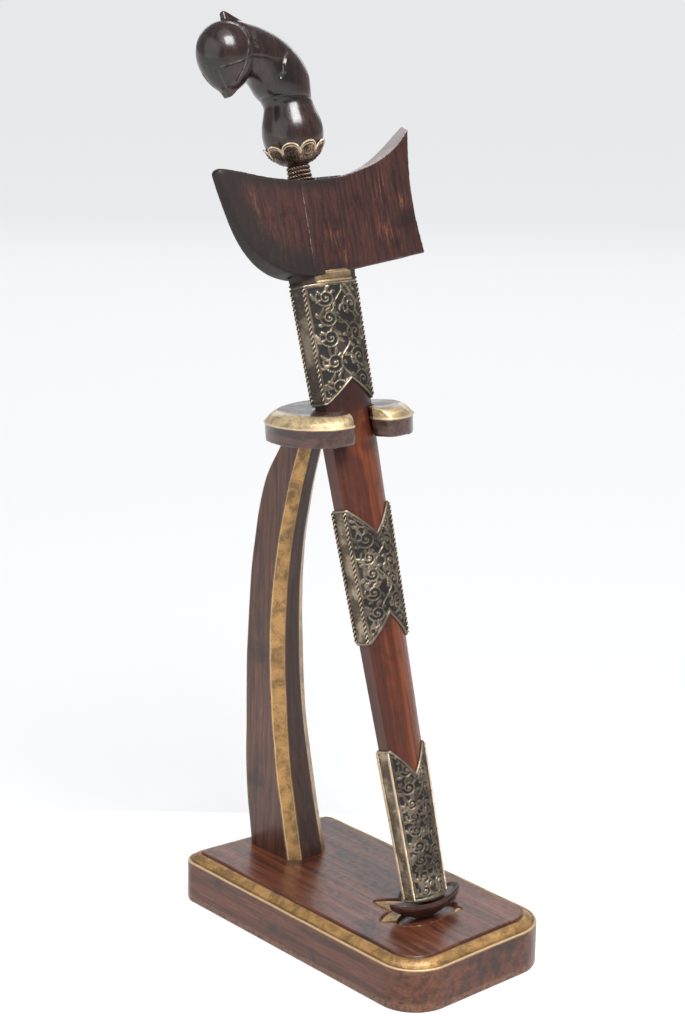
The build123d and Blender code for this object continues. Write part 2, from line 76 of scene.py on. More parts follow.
camera_data = bpy.data.cameras.new("camera")
camera_data.sensor_fit = "VERTICAL"
camera_data.sensor_height = SENSOR_HEIGHT
camera_data.lens = FOCAL_PX * SENSOR_HEIGHT / PICTURE[1]
camera_data.clip_end = 100
camera = bpy.data.objects.new("camera", camera_data)
camera.matrix_world = Matrix([[cam_right[i], cam_up[i], to_camera[i], CAMERA_AT[i] / 1000] for i in range(3)]
                             + [[0, 0, 0, 1]])
bpy.context.scene.collection.objects.link(camera)
bpy.context.scene.camera = camera


def seen_at(points):
    """Where the camera sees points, in picture units."""
    rel = points - CAMERA_AT
    depth = -(rel @ to_camera)
    return np.stack([PICTURE[0] / 2 + FOCAL_PX * (rel @ cam_right) / depth,
                     PICTURE[1] / 2 - FOCAL_PX * (rel @ cam_up) / depth], axis=-1)


# ---- materials
class Paint:
    """A node material: each method adds nodes and returns a socket."""

    def __init__(self, name, **constants):
        self.material = bpy.data.materials.new(name)
        self.material.use_nodes = True
        self.tree = self.material.node_tree
        self.shader = self.tree.nodes["Principled BSDF"]
        self.object = self.add("TexCoord").outputs["Object"]
        for socket, value in constants.items():
            self.shader.inputs[socket.replace("_", " ")].default_value = value

    def add(self, kind, inputs=(), **settings):
        node = self.tree.nodes.new("ShaderNode" + kind)
        for key, value in settings.items():
            setattr(node, key, value)
        for socket, value in inputs:
            if isinstance(value, bpy.types.NodeSocket):
                self.tree.links.new(value, node.inputs[socket])
            else:
                node.inputs[socket].default_value = value
        return node

    def stretch(self, size, lean=0.0):
        """Object coordinates counted in mm-sized steps, with z along the keris if it leans."""
        location = tuple(FOOT / 1000) if lean else (0, 0, 0)
        settings = [("Vector", self.object), ("Location", location), ("Rotation", (-lean, 0, 0)),
                    ("Scale", tuple(s / 1000 for s in size))]
        return self.add("Mapping", settings, vector_type="TEXTURE").outputs[0]

    def even(self, size):
        """The same, as long each way."""
        return self.stretch([size] * 3)

    def noise(self, vector, detail=4.0, rough=0.55, twist=0.0):
        return self.add("TexNoise", [("Vector", vector), ("Scale", 1.0), ("Detail", detail), ("Roughness", rough),
                                     ("Distortion", twist)]).outputs[0]

    def span(self, value, low, high, to_low=0.0, to_high=1.0):
        return self.add("MapRange", [("Value", value), ("From Min", low), ("From Max", high), ("To Min", to_low),
                                     ("To Max", to_high)], interpolation_type="SMOOTHSTEP").outputs[0]

    def math(self, operation, a, b=0.0):
        return self.add("Math", [(0, a), (1, b)], operation=operation, use_clamp=operation == "ADD").outputs[0]

    def sums(self, a, b):
        return self.add("Math", [(0, a), (1, b)], operation="ADD").outputs[0]

    def mix(self, share, a, b):
        def colour(c):
            return c if isinstance(c, bpy.types.NodeSocket) else (*c, 1.0)
        return self.add("Mix", [(0, share), (6, colour(a)), (7, colour(b))], data_type="RGBA").outputs[2]

    def attribute(self, name):
        return self.add("Attribute", attribute_name=name).outputs["Fac"]

    def along(self, vector, axis):
        return self.add("SeparateXYZ", [(0, vector)]).outputs[axis]

    def bump(self, height, distance, under=None):
        inputs = [("Height", height), ("Distance", distance / 1000), ("Strength", 1.0)]
        if under is not None:
            inputs.append(("Normal", under))
        return self.add("Bump", inputs).outputs[0]

    def done(self, colour, rough, normal, metal=None):
        self.tree.links.new(colour, self.shader.inputs["Base Color"])
        self.tree.links.new(rough, self.shader.inputs["Roughness"])
        self.tree.links.new(normal, self.shader.inputs["Normal"])
        if metal is not None:
            self.tree.links.new(metal, self.shader.inputs["Metallic"])
        return self.material


def wood(name, dark, middle, light, grain, lean=0.0, smudge_and_shade=(0.015, 0.008, 0.006), gloss=0.34, coat=0.25, gilt=False,
         ends=(), edge_colour=None, pores=0.06, glowing=False, leaf_gold=(0.56, 0.32, 0.12)):
    """Polished wood: streaked grain, smudges, darkening in hollows that also paints shade where a piece is given it,
    pale worn edges that also paint sheen on the hilt, tints along an axis, a painted sky reflection greying the
    wrangka's upward faces, and gilding where it's painted.
    """
    p = Paint(name, Coat_Weight=coat, Coat_Roughness=0.16, Specular_IOR_Level=0.32)
    streak = p.noise(p.stretch(grain, lean), 5.0, 0.62, 0.6)
    fine = p.noise(p.stretch([g * 0.22 for g in grain], lean), 3.0, 0.6)
    broad = p.noise(p.even(26), 3.0, 0.5, 0.4)
    colour = p.mix(p.span(streak, 0.34, 0.62), dark, middle)
    glow = p.math("MULTIPLY", p.span(fine, 0.46, 0.68), p.span(streak, 0.42, 0.62))
    lit = p.attribute("glow") if glowing else p.span(broad, 0.56, 0.40, 0.15, 1.0)
    colour = p.mix(p.math("MULTIPLY", glow, lit), colour, light)
    # tints along an axis: on the stem, painted shade down its left side and a darker band towards its top
    for axis, low, high, tint, amount in ends:
        position = p.along(p.stretch([1, 1, 1], LEAN), axis)
        wobble = p.sums(position, p.span(broad, 0.3, 0.7, -8.0, 8.0))
        colour = p.mix(p.math("MULTIPLY", p.span(wobble, low, high), amount), colour, tint)
    colour = p.mix(p.math("MULTIPLY", p.span(broad, 0.56, 0.72), 0.75), colour, smudge_and_shade)
    wear_and_sheen, grime_and_shade = p.attribute("wear_and_sheen"), p.attribute("grime_and_shade")
    scuff = p.noise(p.even(3.0), 5.0, 0.7)
    # pale worn edges; on the hilt this pale colour also paints sheen on the neck behind the head
    if edge_colour is not None:
        worn = p.math("MULTIPLY", p.span(wear_and_sheen, 0.35, 0.9), p.span(scuff, 0.38, 0.62))
        colour = p.mix(p.math("MULTIPLY", worn, 0.8), colour, edge_colour)
    # darker in hollows, plus painted shade where a piece is given it (the wrangka's edges)
    colour = p.mix(p.math("MULTIPLY", grime_and_shade, 0.85), colour, smudge_and_shade)
    # painted reflection: upward faces greyed as if they mirrored the sky
    if glowing:
        greyed = p.mix(p.span(fine, 0.3, 0.7), (0.23, 0.195, 0.20), (0.30, 0.265, 0.27))
        colour = p.mix(p.attribute("pale"), colour, greyed)
    rough = p.sums(p.span(scuff, 0.3, 0.8, gloss - 0.06, gloss + 0.16), p.math("MULTIPLY", grime_and_shade, 0.2))
    normal = p.bump(scuff, 0.05, p.bump(fine, pores))
    if not gilt:
        return p.done(colour, rough, normal)
    # gilding: gold rubbed through to brown and greenish ground in spots
    mask = p.attribute("gilt")
    grit = p.noise(p.even(1.1), 4.0, 0.75)
    patch = p.noise(p.even(9.0), 4.0, 0.65, 0.5)
    worn = p.math("MAXIMUM", p.span(grit, 0.55, 0.70), p.math("MULTIPLY", p.span(patch, 0.50, 0.68), 0.7))
    gold = p.mix(p.span(patch, 0.35, 0.60), leaf_gold, tuple(c * 0.60 for c in leaf_gold))
    ground = p.mix(p.span(grit, 0.40, 0.62), (0.105, 0.060, 0.026), (0.060, 0.050, 0.020))
    gold = p.mix(p.math("MULTIPLY", worn, 0.80), gold, ground)
    gold = p.mix(p.math("MULTIPLY", p.span(wear_and_sheen, 0.3, 0.85), 0.75), gold, (0.83, 0.62, 0.36))
    gold = p.mix(p.math("MULTIPLY", grime_and_shade, 0.85), gold, (0.050, 0.030, 0.015))
    leaf = p.math("MULTIPLY", mask, p.span(worn, 0.0, 1.0, 0.70, 0.20))
    colour = p.mix(mask, colour, gold)
    gold_rough = p.span(grit, 0.3, 0.7, 0.30, 0.52)
    rough = p.add("Mix", [(0, mask), (2, rough), (3, gold_rough)], data_type="FLOAT").outputs[0]
    return p.done(colour, rough, p.bump(p.math("MULTIPLY", grit, mask), 0.35, normal), leaf)


def metal(name, bright, middle, dark, rough, dull=0.0, bare=False, warm=(0.62, 0.40, 0.20)):
    """Old worked metal: bright where rubbed, dark in its hollows, with warm and dull patches."""
    p = Paint(name, Specular_IOR_Level=0.5)
    patch = p.noise(p.even(14), 4.0, 0.6, 0.5)
    grit = p.noise(p.even(0.8), 4.0, 0.7)
    spots = p.noise(p.even(3.0), 5.0, 0.65)
    colour = p.mix(p.span(patch, 0.40, 0.62), middle, bright)
    colour = p.mix(p.math("MULTIPLY", p.span(spots, 0.52, 0.70), 0.6), colour, warm)
    tarnish = p.span(grit, 0.50, 0.75, 0.0, 0.45)
    if not bare:
        patchy = p.math("MULTIPLY", p.span(patch, 0.62, 0.42), dull)
        # tarnish in the hollows, plus any darkening a piece is given, which on the collar is painted shade on its side
        # strips
        tarnish = p.math("MAXIMUM", tarnish, p.math("ADD", p.span(p.attribute("grime_and_shade"), 0.05, 0.75), patchy))
        ridges = p.math("MULTIPLY", p.span(p.attribute("wear_and_sheen"), 0.25, 0.8), 0.8)
        colour = p.mix(ridges, colour, tuple(min(1.0, c * 1.25) for c in bright))
    colour = p.mix(tarnish, colour, dark)
    metallic = p.span(tarnish, 0.2, 1.0, 1.0, 0.35)
    roughness = p.sums(p.span(spots, 0.3, 0.7, rough - 0.08, rough + 0.10), p.math("MULTIPLY", tarnish, 0.30))
    return p.done(colour, roughness, p.bump(spots, 0.10, p.bump(grit, 0.06)), metallic)


def pamor(name):
    """Forged blade steel: dark etched ground with flowing bright layers."""
    p = Paint(name, Specular_IOR_Level=0.5)
    flow = p.noise(p.stretch([7, 7, 34], LEAN), 5.0, 0.6, 2.2)
    rings = p.math("SINE", p.math("MULTIPLY", flow, 58.0))
    grit = p.noise(p.even(0.7), 4.0, 0.7)
    layer = p.math("MULTIPLY", p.span(rings, 0.1, 0.8), p.span(grit, 0.3, 0.6))
    colour = p.mix(layer, (0.055, 0.052, 0.050), (0.42, 0.42, 0.41))
    rough = p.span(layer, 0.0, 1.0, 0.55, 0.33)
    normal = p.bump(grit, 0.08, p.bump(layer, 0.08))
    return p.done(colour, rough, normal, p.span(layer, 0.0, 1.0, 0.75, 0.95))


def cloth(name):
    """Strip of dark red cotton, wound in a slope, with its weave."""
    p = Paint(name, Sheen_Weight=0.3, Specular_IOR_Level=0.25)
    place = p.stretch([0.35, 0.35, 0.35], LEAN)
    warp = p.math("SINE", p.math("MULTIPLY", p.along(place, "X"), 5.0))
    weft = p.math("SINE", p.math("MULTIPLY", p.along(place, "Z"), 5.0))
    weave = p.math("MULTIPLY", warp, weft)
    lap = p.math("SINE", p.math("MULTIPLY", p.along(p.stretch([0.9, 0.9, 0.9], LEAN), "Z"), 1.6))
    stain = p.noise(p.even(5), 4.0, 0.6)
    colour = p.mix(p.span(weave, -0.6, 0.8), (0.055, 0.010, 0.008), (0.20, 0.045, 0.032))
    colour = p.mix(p.span(stain, 0.5, 0.7), colour, (0.035, 0.014, 0.010))
    return p.done(colour, p.span(stain, 0.3, 0.7, 0.78, 0.95), p.bump(weave, 0.12, p.bump(lap, 0.4)))


base_wood = wood("base_wood", (0.050, 0.016, 0.009), (0.115, 0.036, 0.019), (0.185, 0.066, 0.033), [4.5, 70, 4.5],
                 gloss=0.34, coat=0.2, gilt=True, edge_colour=(0.20, 0.10, 0.055))
post_wood = wood("post_wood", (0.045, 0.017, 0.011), (0.105, 0.038, 0.022), (0.165, 0.068, 0.040), [3.5, 3.5, 60],
                 gloss=0.36, coat=0.3, gilt=True, edge_colour=(0.24, 0.13, 0.07))
# the yoke's gold is paler than the base's: a painted highlight on its gilt rim
yoke_wood = wood("yoke_wood", (0.030, 0.013, 0.011), (0.080, 0.034, 0.025), (0.150, 0.070, 0.045), [3.5, 45, 3.5],
                 gloss=0.30, coat=0.7, gilt=True, edge_colour=(0.26, 0.14, 0.08), leaf_gold=(0.80, 0.60, 0.34))
# the stem is painted darker down its left side as shade, and darker towards its top
stem_wood = wood("stem_wood", (0.075, 0.018, 0.008), (0.165, 0.040, 0.014), (0.290, 0.080, 0.024), [3.6, 3.6, 70],
                 LEAN, smudge_and_shade=(0.030, 0.010, 0.007),
                 ends=[("X", 3, -9, (0.050, 0.016, 0.012), 0.75), ("Z", 258, 284, (0.022, 0.009, 0.008), 0.9)])
wrangka_wood = wood("wrangka_wood", (0.026, 0.011, 0.010), (0.052, 0.020, 0.017), (0.300, 0.105, 0.042),
                    [1.7, 1.7, 20], LEAN, smudge_and_shade=(0.009, 0.006, 0.006), gloss=0.42, coat=0.10,
                    edge_colour=(0.30, 0.25, 0.24), glowing=True)
toe_wood = wood("toe_wood", (0.022, 0.010, 0.008), (0.060, 0.022, 0.015), (0.110, 0.042, 0.028), [14, 3, 3],
                gloss=0.36, edge_colour=(0.26, 0.15, 0.10))
# its pale edge colour also paints sheen on the neck behind the head
hilt_wood = wood("hilt_wood", (0.010, 0.0055, 0.0050), (0.026, 0.012, 0.010), (0.055, 0.024, 0.016), [5, 5, 30],
                 LEAN, smudge_and_shade=(0.006, 0.004, 0.004), gloss=0.27, coat=0.6, edge_colour=(0.40, 0.31, 0.27), pores=0.03)
peg_wood = wood("peg_wood", (0.10, 0.055, 0.028), (0.24, 0.14, 0.07), (0.36, 0.23, 0.13), [1.2, 1.2, 16],
                gloss=0.5, coat=0.0)
mount_metal = metal("mount_metal", (0.37, 0.31, 0.23), (0.145, 0.118, 0.086), (0.014, 0.012, 0.011), 0.33, 0.35)
collar_metal = metal("collar_metal", (0.50, 0.36, 0.21), (0.32, 0.21, 0.11), (0.035, 0.022, 0.015), 0.38)
wire_metal = metal("wire_metal", (0.66, 0.54, 0.40), (0.32, 0.25, 0.17), (0.022, 0.017, 0.013), 0.32)
ferrule_metal = metal("ferrule_metal", (0.22, 0.155, 0.12), (0.080, 0.052, 0.044), (0.012, 0.008, 0.008), 0.34, 0.40)
screw_metal = metal("screw_metal", (0.52, 0.50, 0.47), (0.30, 0.28, 0.26), (0.050, 0.040, 0.032), 0.40, bare=True)
tang_metal = metal("tang_metal", (0.20, 0.19, 0.18), (0.11, 0.10, 0.095), (0.035, 0.022, 0.016), 0.52, bare=True,
                   warm=(0.16, 0.085, 0.045))
blade_metal = pamor("blade_metal")
wrap_cloth = cloth("wrap_cloth")


# ---- meshes
def grid(rows, columns, close=False):
    """Quads of a grid of points, wrapped along its columns, and along its rows if it closes."""
    i, j = np.meshgrid(np.arange(rows if close else rows - 1), np.arange(columns), indexing="ij")
    row, below, right = i * columns, (i + 1) % rows * columns, (j + 1) % columns
    return np.stack([row + j, row + right, below + right, below + j], axis=-1).reshape(-1, 4)


def rounded(values, edges, count):
    """Each point's mean over its neighbours."""
    total = np.zeros_like(values)
    np.add.at(total, edges[:, 0], values[edges[:, 1]])
    np.add.at(total, edges[:, 1], values[edges[:, 0]])
    return total / (count[:, None] if values.ndim == 2 else count)


def read(items, key, size, kind=float):
    values = np.empty(len(items) * size, dtype=kind)
    items.foreach_get(key, values)
    return values.reshape(-1, size)


def mesh_facts(mesh):
    """Points in mm, edges, normals and how many edges meet at each point."""
    edges = read(mesh.edges, "vertices", 2, np.int64)
    count = np.maximum(np.bincount(edges.ravel(), minlength=len(mesh.vertices)), 1).astype(float)
    return read(mesh.vertices, "co", 3) * 1000, edges, read(mesh.vertices, "normal", 3), count


def set_points(mesh, points):
    mesh.vertices.foreach_set("co", (points / 1000).ravel())
    mesh.update()


def write(mesh, name, values):
    mesh.attributes.new(name, "FLOAT", "POINT").data.foreach_set("value", np.clip(values, 0, 1).astype(np.float32))


def finish_mesh(name, mesh, material, body, nodes=(), reach=6, depth=0.35, paint=None, shade_and_grime=0.0, rub_and_sheen=0.0):
    """Adds pale rubbing on ridges and darkening in hollows, then puts the piece in the scene on its body. A caller can
    add painted sheen to the rubbing and painted shade and grime to the darkening.

    The relief is measured against the surface smoothed reach times, and counts in full at depth mm.
    """
    if isinstance(mesh, tuple):
        mesh = build(name, *mesh)
    points, edges, normals, count = mesh_facts(mesh)
    soft = points.copy()
    for _ in range(reach):
        soft = 0.4 * soft + 0.6 * rounded(soft, edges, count)
    relief = np.einsum("ij,ij->i", points - soft, normals)
    for _ in range(2):
        relief = 0.5 * relief + 0.5 * rounded(relief, edges, count)
    write(mesh, "wear_and_sheen", np.maximum(relief / depth, rub_and_sheen))
    write(mesh, "grime_and_shade", np.maximum(-relief / depth, shade_and_grime))
    if paint is not None:
        write(mesh, "gilt", paint(points, normals))
    mesh.materials.clear()
    mesh.materials.append(material)
    mesh.polygons.foreach_set("use_smooth", np.ones(len(mesh.polygons), dtype=bool))
    piece = bpy.data.objects.new(name, mesh)
    bpy.context.scene.collection.objects.link(piece)
    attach(piece, body)
    if nodes:
        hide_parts(*nodes)
    return piece


def build(name, points, faces):
    mesh = bpy.data.meshes.new(name)
    mesh.from_pydata((np.asarray(points).reshape(-1, 3) / 1000).tolist(), [], [tuple(f) for f in faces.tolist()])
    mesh.update()
    shape = bmesh.new()
    shape.from_mesh(mesh)
    bmesh.ops.recalc_face_normals(shape, faces=shape.faces)
    shape.to_mesh(mesh)
    shape.free()
    mesh.update()
    return mesh


def join(parts):
    """One list of points and one of faces from several."""
    points, faces = zip(*((more_points.reshape(-1, 3), more_faces) for more_points, more_faces in parts))
    starts = np.cumsum([0] + [len(more) for more in points[:-1]])
    return np.concatenate(points), np.concatenate([more + start for more, start in zip(faces, starts)])


def remesh(mesh, voxel, rounds):
    """The closed surface of a mesh in even faces of about voxel mm, with its edges softened."""
    copy = bpy.data.objects.new("copy", mesh)
    bpy.context.scene.collection.objects.link(copy)
    modifier = copy.modifiers.new("even", "REMESH")
    modifier.mode = "VOXEL"
    modifier.voxel_size = voxel / 1000
    even = bpy.data.meshes.new_from_object(copy.evaluated_get(bpy.context.evaluated_depsgraph_get()))
    bpy.data.objects.remove(copy)
    points, edges, _, count = mesh_facts(even)
    for _ in range(rounds):
        points = 0.5 * points + 0.5 * rounded(points, edges, count)
    set_points(even, points)
    return even


def soften(mesh, weight, rounds):
    """Rounds a mesh off where the weight says so."""
    points, edges, _, count = mesh_facts(mesh)
    share = 0.5 * weight[:, None]
    for _ in range(rounds):
        points = points + share * (rounded(points, edges, count) - points)
    set_points(mesh, points)


def waves(points, size, seed):
    """Smooth unevenness of a hand-worked surface, between -1 and 1."""
    pick = np.random.default_rng(seed)
    total = np.zeros(len(points))
    for _ in range(7):
        way = pick.normal(size=3)
        way *= 2 * pi / (size * np.linalg.norm(way) * pick.uniform(0.7, 1.6))
        total += np.sin(points @ way + pick.uniform(0, 2 * pi))
    return total / 4


def near_line(points, line):
    """Distance of each point from a polyline."""
    best = np.full(len(points), 1e9)
    for a, b in zip(line[:-1], line[1:]):
        a, b = np.asarray(a, float), np.asarray(b, float)
        t = np.clip((points - a) @ (b - a) / max((b - a) @ (b - a), 1e-9), 0, 1)
        best = np.minimum(best, np.linalg.norm(points - a - t[:, None] * (b - a), axis=1))
    return best


def ease(value, low, high):
    t = np.clip((value - low) / (high - low), 0, 1)
    return t * t * (3 - 2 * t)


def through(xs, ys, x):
    """Smooth curve through points, for a list of x."""
    xs, ys = np.asarray(xs, float), np.asarray(ys, float)
    slope = np.gradient(ys, xs)
    k = np.clip(np.searchsorted(xs, x) - 1, 0, len(xs) - 2)
    step = xs[k + 1] - xs[k]
    t = (x - xs[k]) / step
    return ((2 * t**3 - 3 * t**2 + 1) * ys[k] + (t**3 - 2 * t**2 + t) * step * slope[k]
            + (-2 * t**3 + 3 * t**2) * ys[k + 1] + (t**3 - t**2) * step * slope[k + 1])


def rope(path, radius, strand, pitch, closed=False, sides=6, strands=2):
    """Twisted wire along a path of points in mm."""
    path = np.asarray(path, float)
    ahead = np.roll(path, -1, axis=0) - np.roll(path, 1, axis=0)
    if not closed:
        ahead[0], ahead[-1] = path[1] - path[0], path[-1] - path[-2]
    ahead /= np.linalg.norm(ahead, axis=1)[:, None]
    side = np.zeros_like(path)
    guess = np.cross(ahead[0], [0.3, 0.5, 0.8])
    for i, way in enumerate(ahead):
        guess = guess - way * (guess @ way)
        guess /= np.linalg.norm(guess)
        side[i] = guess
    other = np.cross(ahead, side)
    step = np.linalg.norm(np.diff(path, axis=0, append=path[:1]), axis=1)
    length = step.sum() if closed else step[:-1].sum()
    turns = max(1, round(length / pitch)) if closed else length / pitch
    run = np.concatenate([[0], np.cumsum(step)[:-1]])
    parts = []
    for s in range(strands):
        turn = 2 * pi * (turns * run / length + s / strands)
        middle = path + radius * (np.cos(turn)[:, None] * side + np.sin(turn)[:, None] * other)
        ring = np.arange(sides) * 2 * pi / sides
        round_it = np.cos(ring)[None, :, None] * side[:, None] + np.sin(ring)[None, :, None] * other[:, None]
        parts.append((middle[:, None] + strand * round_it, grid(len(path), sides, close=closed)))
    return join(parts)


def ball(centre, radius, way=(0.0, 0.0, 1.0), squash=1.0):
    """A small soldered grain."""
    rings, sides = 5, 8
    up = way / np.linalg.norm(way)
    side = np.cross(up, [0.31, 0.52, 0.79])
    side /= np.linalg.norm(side)
    other = np.cross(up, side)
    tilt = np.linspace(0.02, pi - 0.02, rings)
    turn = np.arange(sides) * 2 * pi / sides
    flat_ring = np.cos(turn)[None, :, None] * side + np.sin(turn)[None, :, None] * other
    out = squash * np.cos(tilt)[:, None, None] * up + np.sin(tilt)[:, None, None] * flat_ring
    return centre + radius * out, grid(rings, sides)


# ---- base board
HALF_WIDTH = 54.0
MOULDING_END = 9.0
MOULDING = [(0.0, 24.0), (0.2, 24.7), (0.8, 25.1), (1.5, 25.0), (1.9, 24.6), (2.3, 25.0), (3.2, 26.3), (4.4, 27.4),
            (5.6, 28.1), (6.8, 28.4), (7.4, 28.25), (7.8, 27.8), (8.1, 27.9), (8.4, 28.9), (8.9, 29.25), (9.8, 29.3)]
POCKET_AT, POCKET_SIZE = (0.0, -51.3), (21.0, 9.0)
LOTUS = np.array([0.0, -45.0])
LOTUS_TIPS = [(-27, -42), (30, -42), (-13, -21), (13, -21), (-15, -60), (19, -59)]


def board_ring(inset):
    """The board's outline drawn in by the inset: long sides, corners and ends, always as many points."""
    if inset > HALF_WIDTH - 0.1:
        return board_ring(HALF_WIDTH - 0.1) * np.array([0.0, 1.0])
    corners = [(-1, -96.8, 23.6, 180), (1, -96.8, 23.6, 270), (1, 94.0, 11.0, 0), (-1, 102.4, 11.0, 90)]
    arcs = []
    for side, edge, radius, start in corners:
        radius = max(radius - inset, 0.02)
        turn = np.radians(np.linspace(start, start + 90, 22))
        inward = 1 if edge < 0 else -1
        centre = np.array([side * (HALF_WIDTH - inset - radius), edge + inward * (inset + radius)])
        arcs.append(centre + radius * np.stack([np.cos(turn), np.sin(turn)], axis=1))
    points = []
    for k, arc in enumerate(arcs):
        after = arcs[(k + 1) % 4][0]
        share = np.linspace(0, 1, 112 if k % 2 == 0 else 250)[1:-1, None]
        points += [arc, arc[-1] * (1 - share) + after * share]
    return np.concatenate(points)


def leaf_depth(xy):
    """How far inside a lotus leaf each point is, and its distance from that leaf's rib, in mm."""
    best, rib = np.full(len(xy), -9.0), np.full(len(xy), 9.0)
    for tip in LOTUS_TIPS:
        way = np.array(tip, float) - LOTUS
        length = np.linalg.norm(way)
        way /= length
        t = (xy - LOTUS) @ way / length
        across = np.abs((xy - LOTUS) @ np.array([-way[1], way[0]]))
        half = np.where((t > 0) & (t < 1), 7.5 * np.sin(pi * np.clip(t, 0, 1) ** 0.85) ** 0.8, -9.0)
        inside = half - across
        rib = np.where(inside > best, across, rib)
        best = np.maximum(best, inside)
    return best, rib


def pocket_share(xy):
    """Distance from the middle of the toe's oval pocket, 1 at its edge."""
    return np.hypot((xy[:, 0] - POCKET_AT[0]) / POCKET_SIZE[0], (xy[:, 1] - POCKET_AT[1]) / POCKET_SIZE[1])


sides = [(HALF_WIDTH, 0.0), (1.2, 0.0), (0.3, 0.3), (0.0, 1.2)] + [(0.0, z) for z in np.linspace(2.4, 23.4, 16)]
rows = [np.insert(board_ring(inset), 2, z, axis=1) for inset, z in sides]
insets = np.concatenate([np.arange(0, 10.4, 0.34), np.arange(10.6, 53.6, 0.72), [HALF_WIDTH]])
for inset in insets:
    ring = board_ring(inset)
    z = np.interp(inset, *np.transpose(MOULDING)) * np.ones(len(ring))
    if inset > MOULDING_END:
        inside, rib = leaf_depth(ring)
        z -= (1.1 * np.exp(-(((inside - 0.2) / 0.7) ** 2))
              + 0.35 * ease(inside, 0.2, 1.0) * (1 - 0.6 * ease(rib, 0.9, 0.2)))
        z = np.minimum(z, 27.2 + 2.2 * ease(pocket_share(ring), 0.97, 1.04))
    rows.append(np.insert(ring, 2, z, axis=1))
flat = np.concatenate(rows)
flat[:, :2] += 0.12 * waves(flat, 40, 3)[:, None] * (flat[:, 2:] > 1) * np.sign(flat[:, :2])
flat[:, 2] += 0.06 * waves(flat, 24, 4) * (flat[:, 2] > 24)
inset_of_point = np.repeat(np.concatenate([[99] * len(sides), insets]), len(ring))


def base_gilding(points, _):
    """Gold on the moulding and in the lotus leaves."""
    inside, _ = leaf_depth(points[:, :2])
    leaves = ease(inside, 0.0, 0.6) * (points[:, 2] > 24) * ease(pocket_share(points), 0.80, 0.95)
    band = (inset_of_point < 7.9) * ease(points[:, 2], 24.0, 24.4)
    return np.maximum(band, leaves)


finish_mesh("base_board_carved", (flat, grid(len(rows), len(ring))), base_wood, "stand", ["base_board"],
            reach=8, depth=0.30, paint=base_gilding)

# ---- post
POST = np.array([  # height, half width, half of the front face, front y, back y
    (29.3, 14.4, 7.7, 46.3, 85.1), (66.0, 13.9, 7.1, 55.1, 90.3), (103.0, 13.1, 6.0, 61.9, 91.9),
    (140.0, 12.8, 5.3, 65.3, 91.9), (177.0, 12.0, 4.8, 65.7, 90.7), (214.0, 10.6, 4.1, 62.0, 87.7),
    (251.0, 9.7, 3.5, 54.0, 79.7), (287.6, 9.2, 3.3, 43.0, 61.2)])
SEAT_Y = 6.7
SEAT_TILT = radians(4)


def softened(corners, counts, radius=0.55):
    """A closed outline through corners, each turned by three close points; also which side each point is on."""
    points, owner = [], []
    for k, count in enumerate(counts):
        a, b = np.array(corners[k]), np.array(corners[(k + 1) % len(corners)])
        way = (b - a) / np.linalg.norm(b - a)
        a, b = a + way * radius, b - way * radius
        share = np.linspace(0, 1, count)[:, None]
        points.append(a * (1 - share) + b * share)
        owner += [k] * count
        after = np.array(corners[(k + 2) % len(corners)])
        turn = np.array(corners[(k + 1) % len(corners)])
        onward = turn + (after - turn) / np.linalg.norm(after - turn) * radius
        points.append((0.25 * b + 0.5 * turn + 0.25 * onward)[None])
        owner.append(-1)
    return np.concatenate(points), np.array(owner)


rows = []
for height in np.linspace(POST[0, 0] - 0.4, POST[-1, 0], 230):
    half, face, front, back = (through(POST[:, 0], POST[:, k], height) for k in range(1, 5))
    corners = [(-face, front), (face, front), (half, front + 5.4), (half, back), (-half, back), (-half, front + 5.4)]
    outline, owner = softened(corners, [9, 10, 24, 16, 24, 10])
    tilt = ease(height, 251, 287.6)
    z = height - np.tan(SEAT_TILT) * tilt * (outline[:, 1] - SEAT_Y)
    rows.append(np.insert(outline, 2, z, axis=1))
chamfer = np.tile(np.isin(owner, (1, 5)), len(rows))
flat = np.concatenate(rows)
flat[:, 0] += 0.15 * waves(flat, 36, 11)
flat[:, 1] += 0.20 * waves(flat, 30, 12)
# the front face is painted darker than the sides
finish_mesh("post_carved", (flat, grid(len(rows), len(owner))), post_wood, "stand", ["post"],
            reach=5, depth=0.16, paint=lambda *_: chamfer * 1.0, shade_and_grime=0.62 * np.tile(owner == 0, len(rows)))

# ---- yoke
SEAT_UP = np.array([0, sin(SEAT_TILT), cos(SEAT_TILT)])
SEAT_BACK = np.array([0, cos(SEAT_TILT), -sin(SEAT_TILT)])
SEAT_AT = np.array([0, SEAT_Y, 287.6])

yoke_mesh = remesh(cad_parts["yoke"].data.copy(), 0.55, 2)
points = mesh_facts(yoke_mesh)[0]
lips = (np.abs(points[:, 0]) < 26) * ease((points - SEAT_AT) @ SEAT_BACK, 6.0, 1.0)
soften(yoke_mesh, lips, 26)
points, _, normals, _ = mesh_facts(yoke_mesh)
height = (points - SEAT_AT) @ SEAT_UP
slope = normals @ SEAT_UP
outward = normals - slope[:, None] * SEAT_UP
outward /= np.maximum(np.linalg.norm(outward, axis=1), 1e-6)[:, None]
away = np.hypot(points[:, 0], (points - SEAT_AT) @ SEAT_BACK - 21)
bevel = ease(slope, 0.25, 0.45) * (1 - ease(slope, 0.93, 0.98)) * (height > 9.8)
points += normals * (0.9 * bevel * np.sin(pi * np.clip((height - 10.5) / 6.0, 0, 1)))[:, None]
lip = np.exp(-((height - 10.2) / 0.55) ** 2) * (slope < 0.75) * (slope > -0.3)
points += outward * (0.75 * lip * (away > 14))[:, None]
points += normals * (0.10 * waves(points, 16, 21))[:, None]
set_points(yoke_mesh, points)


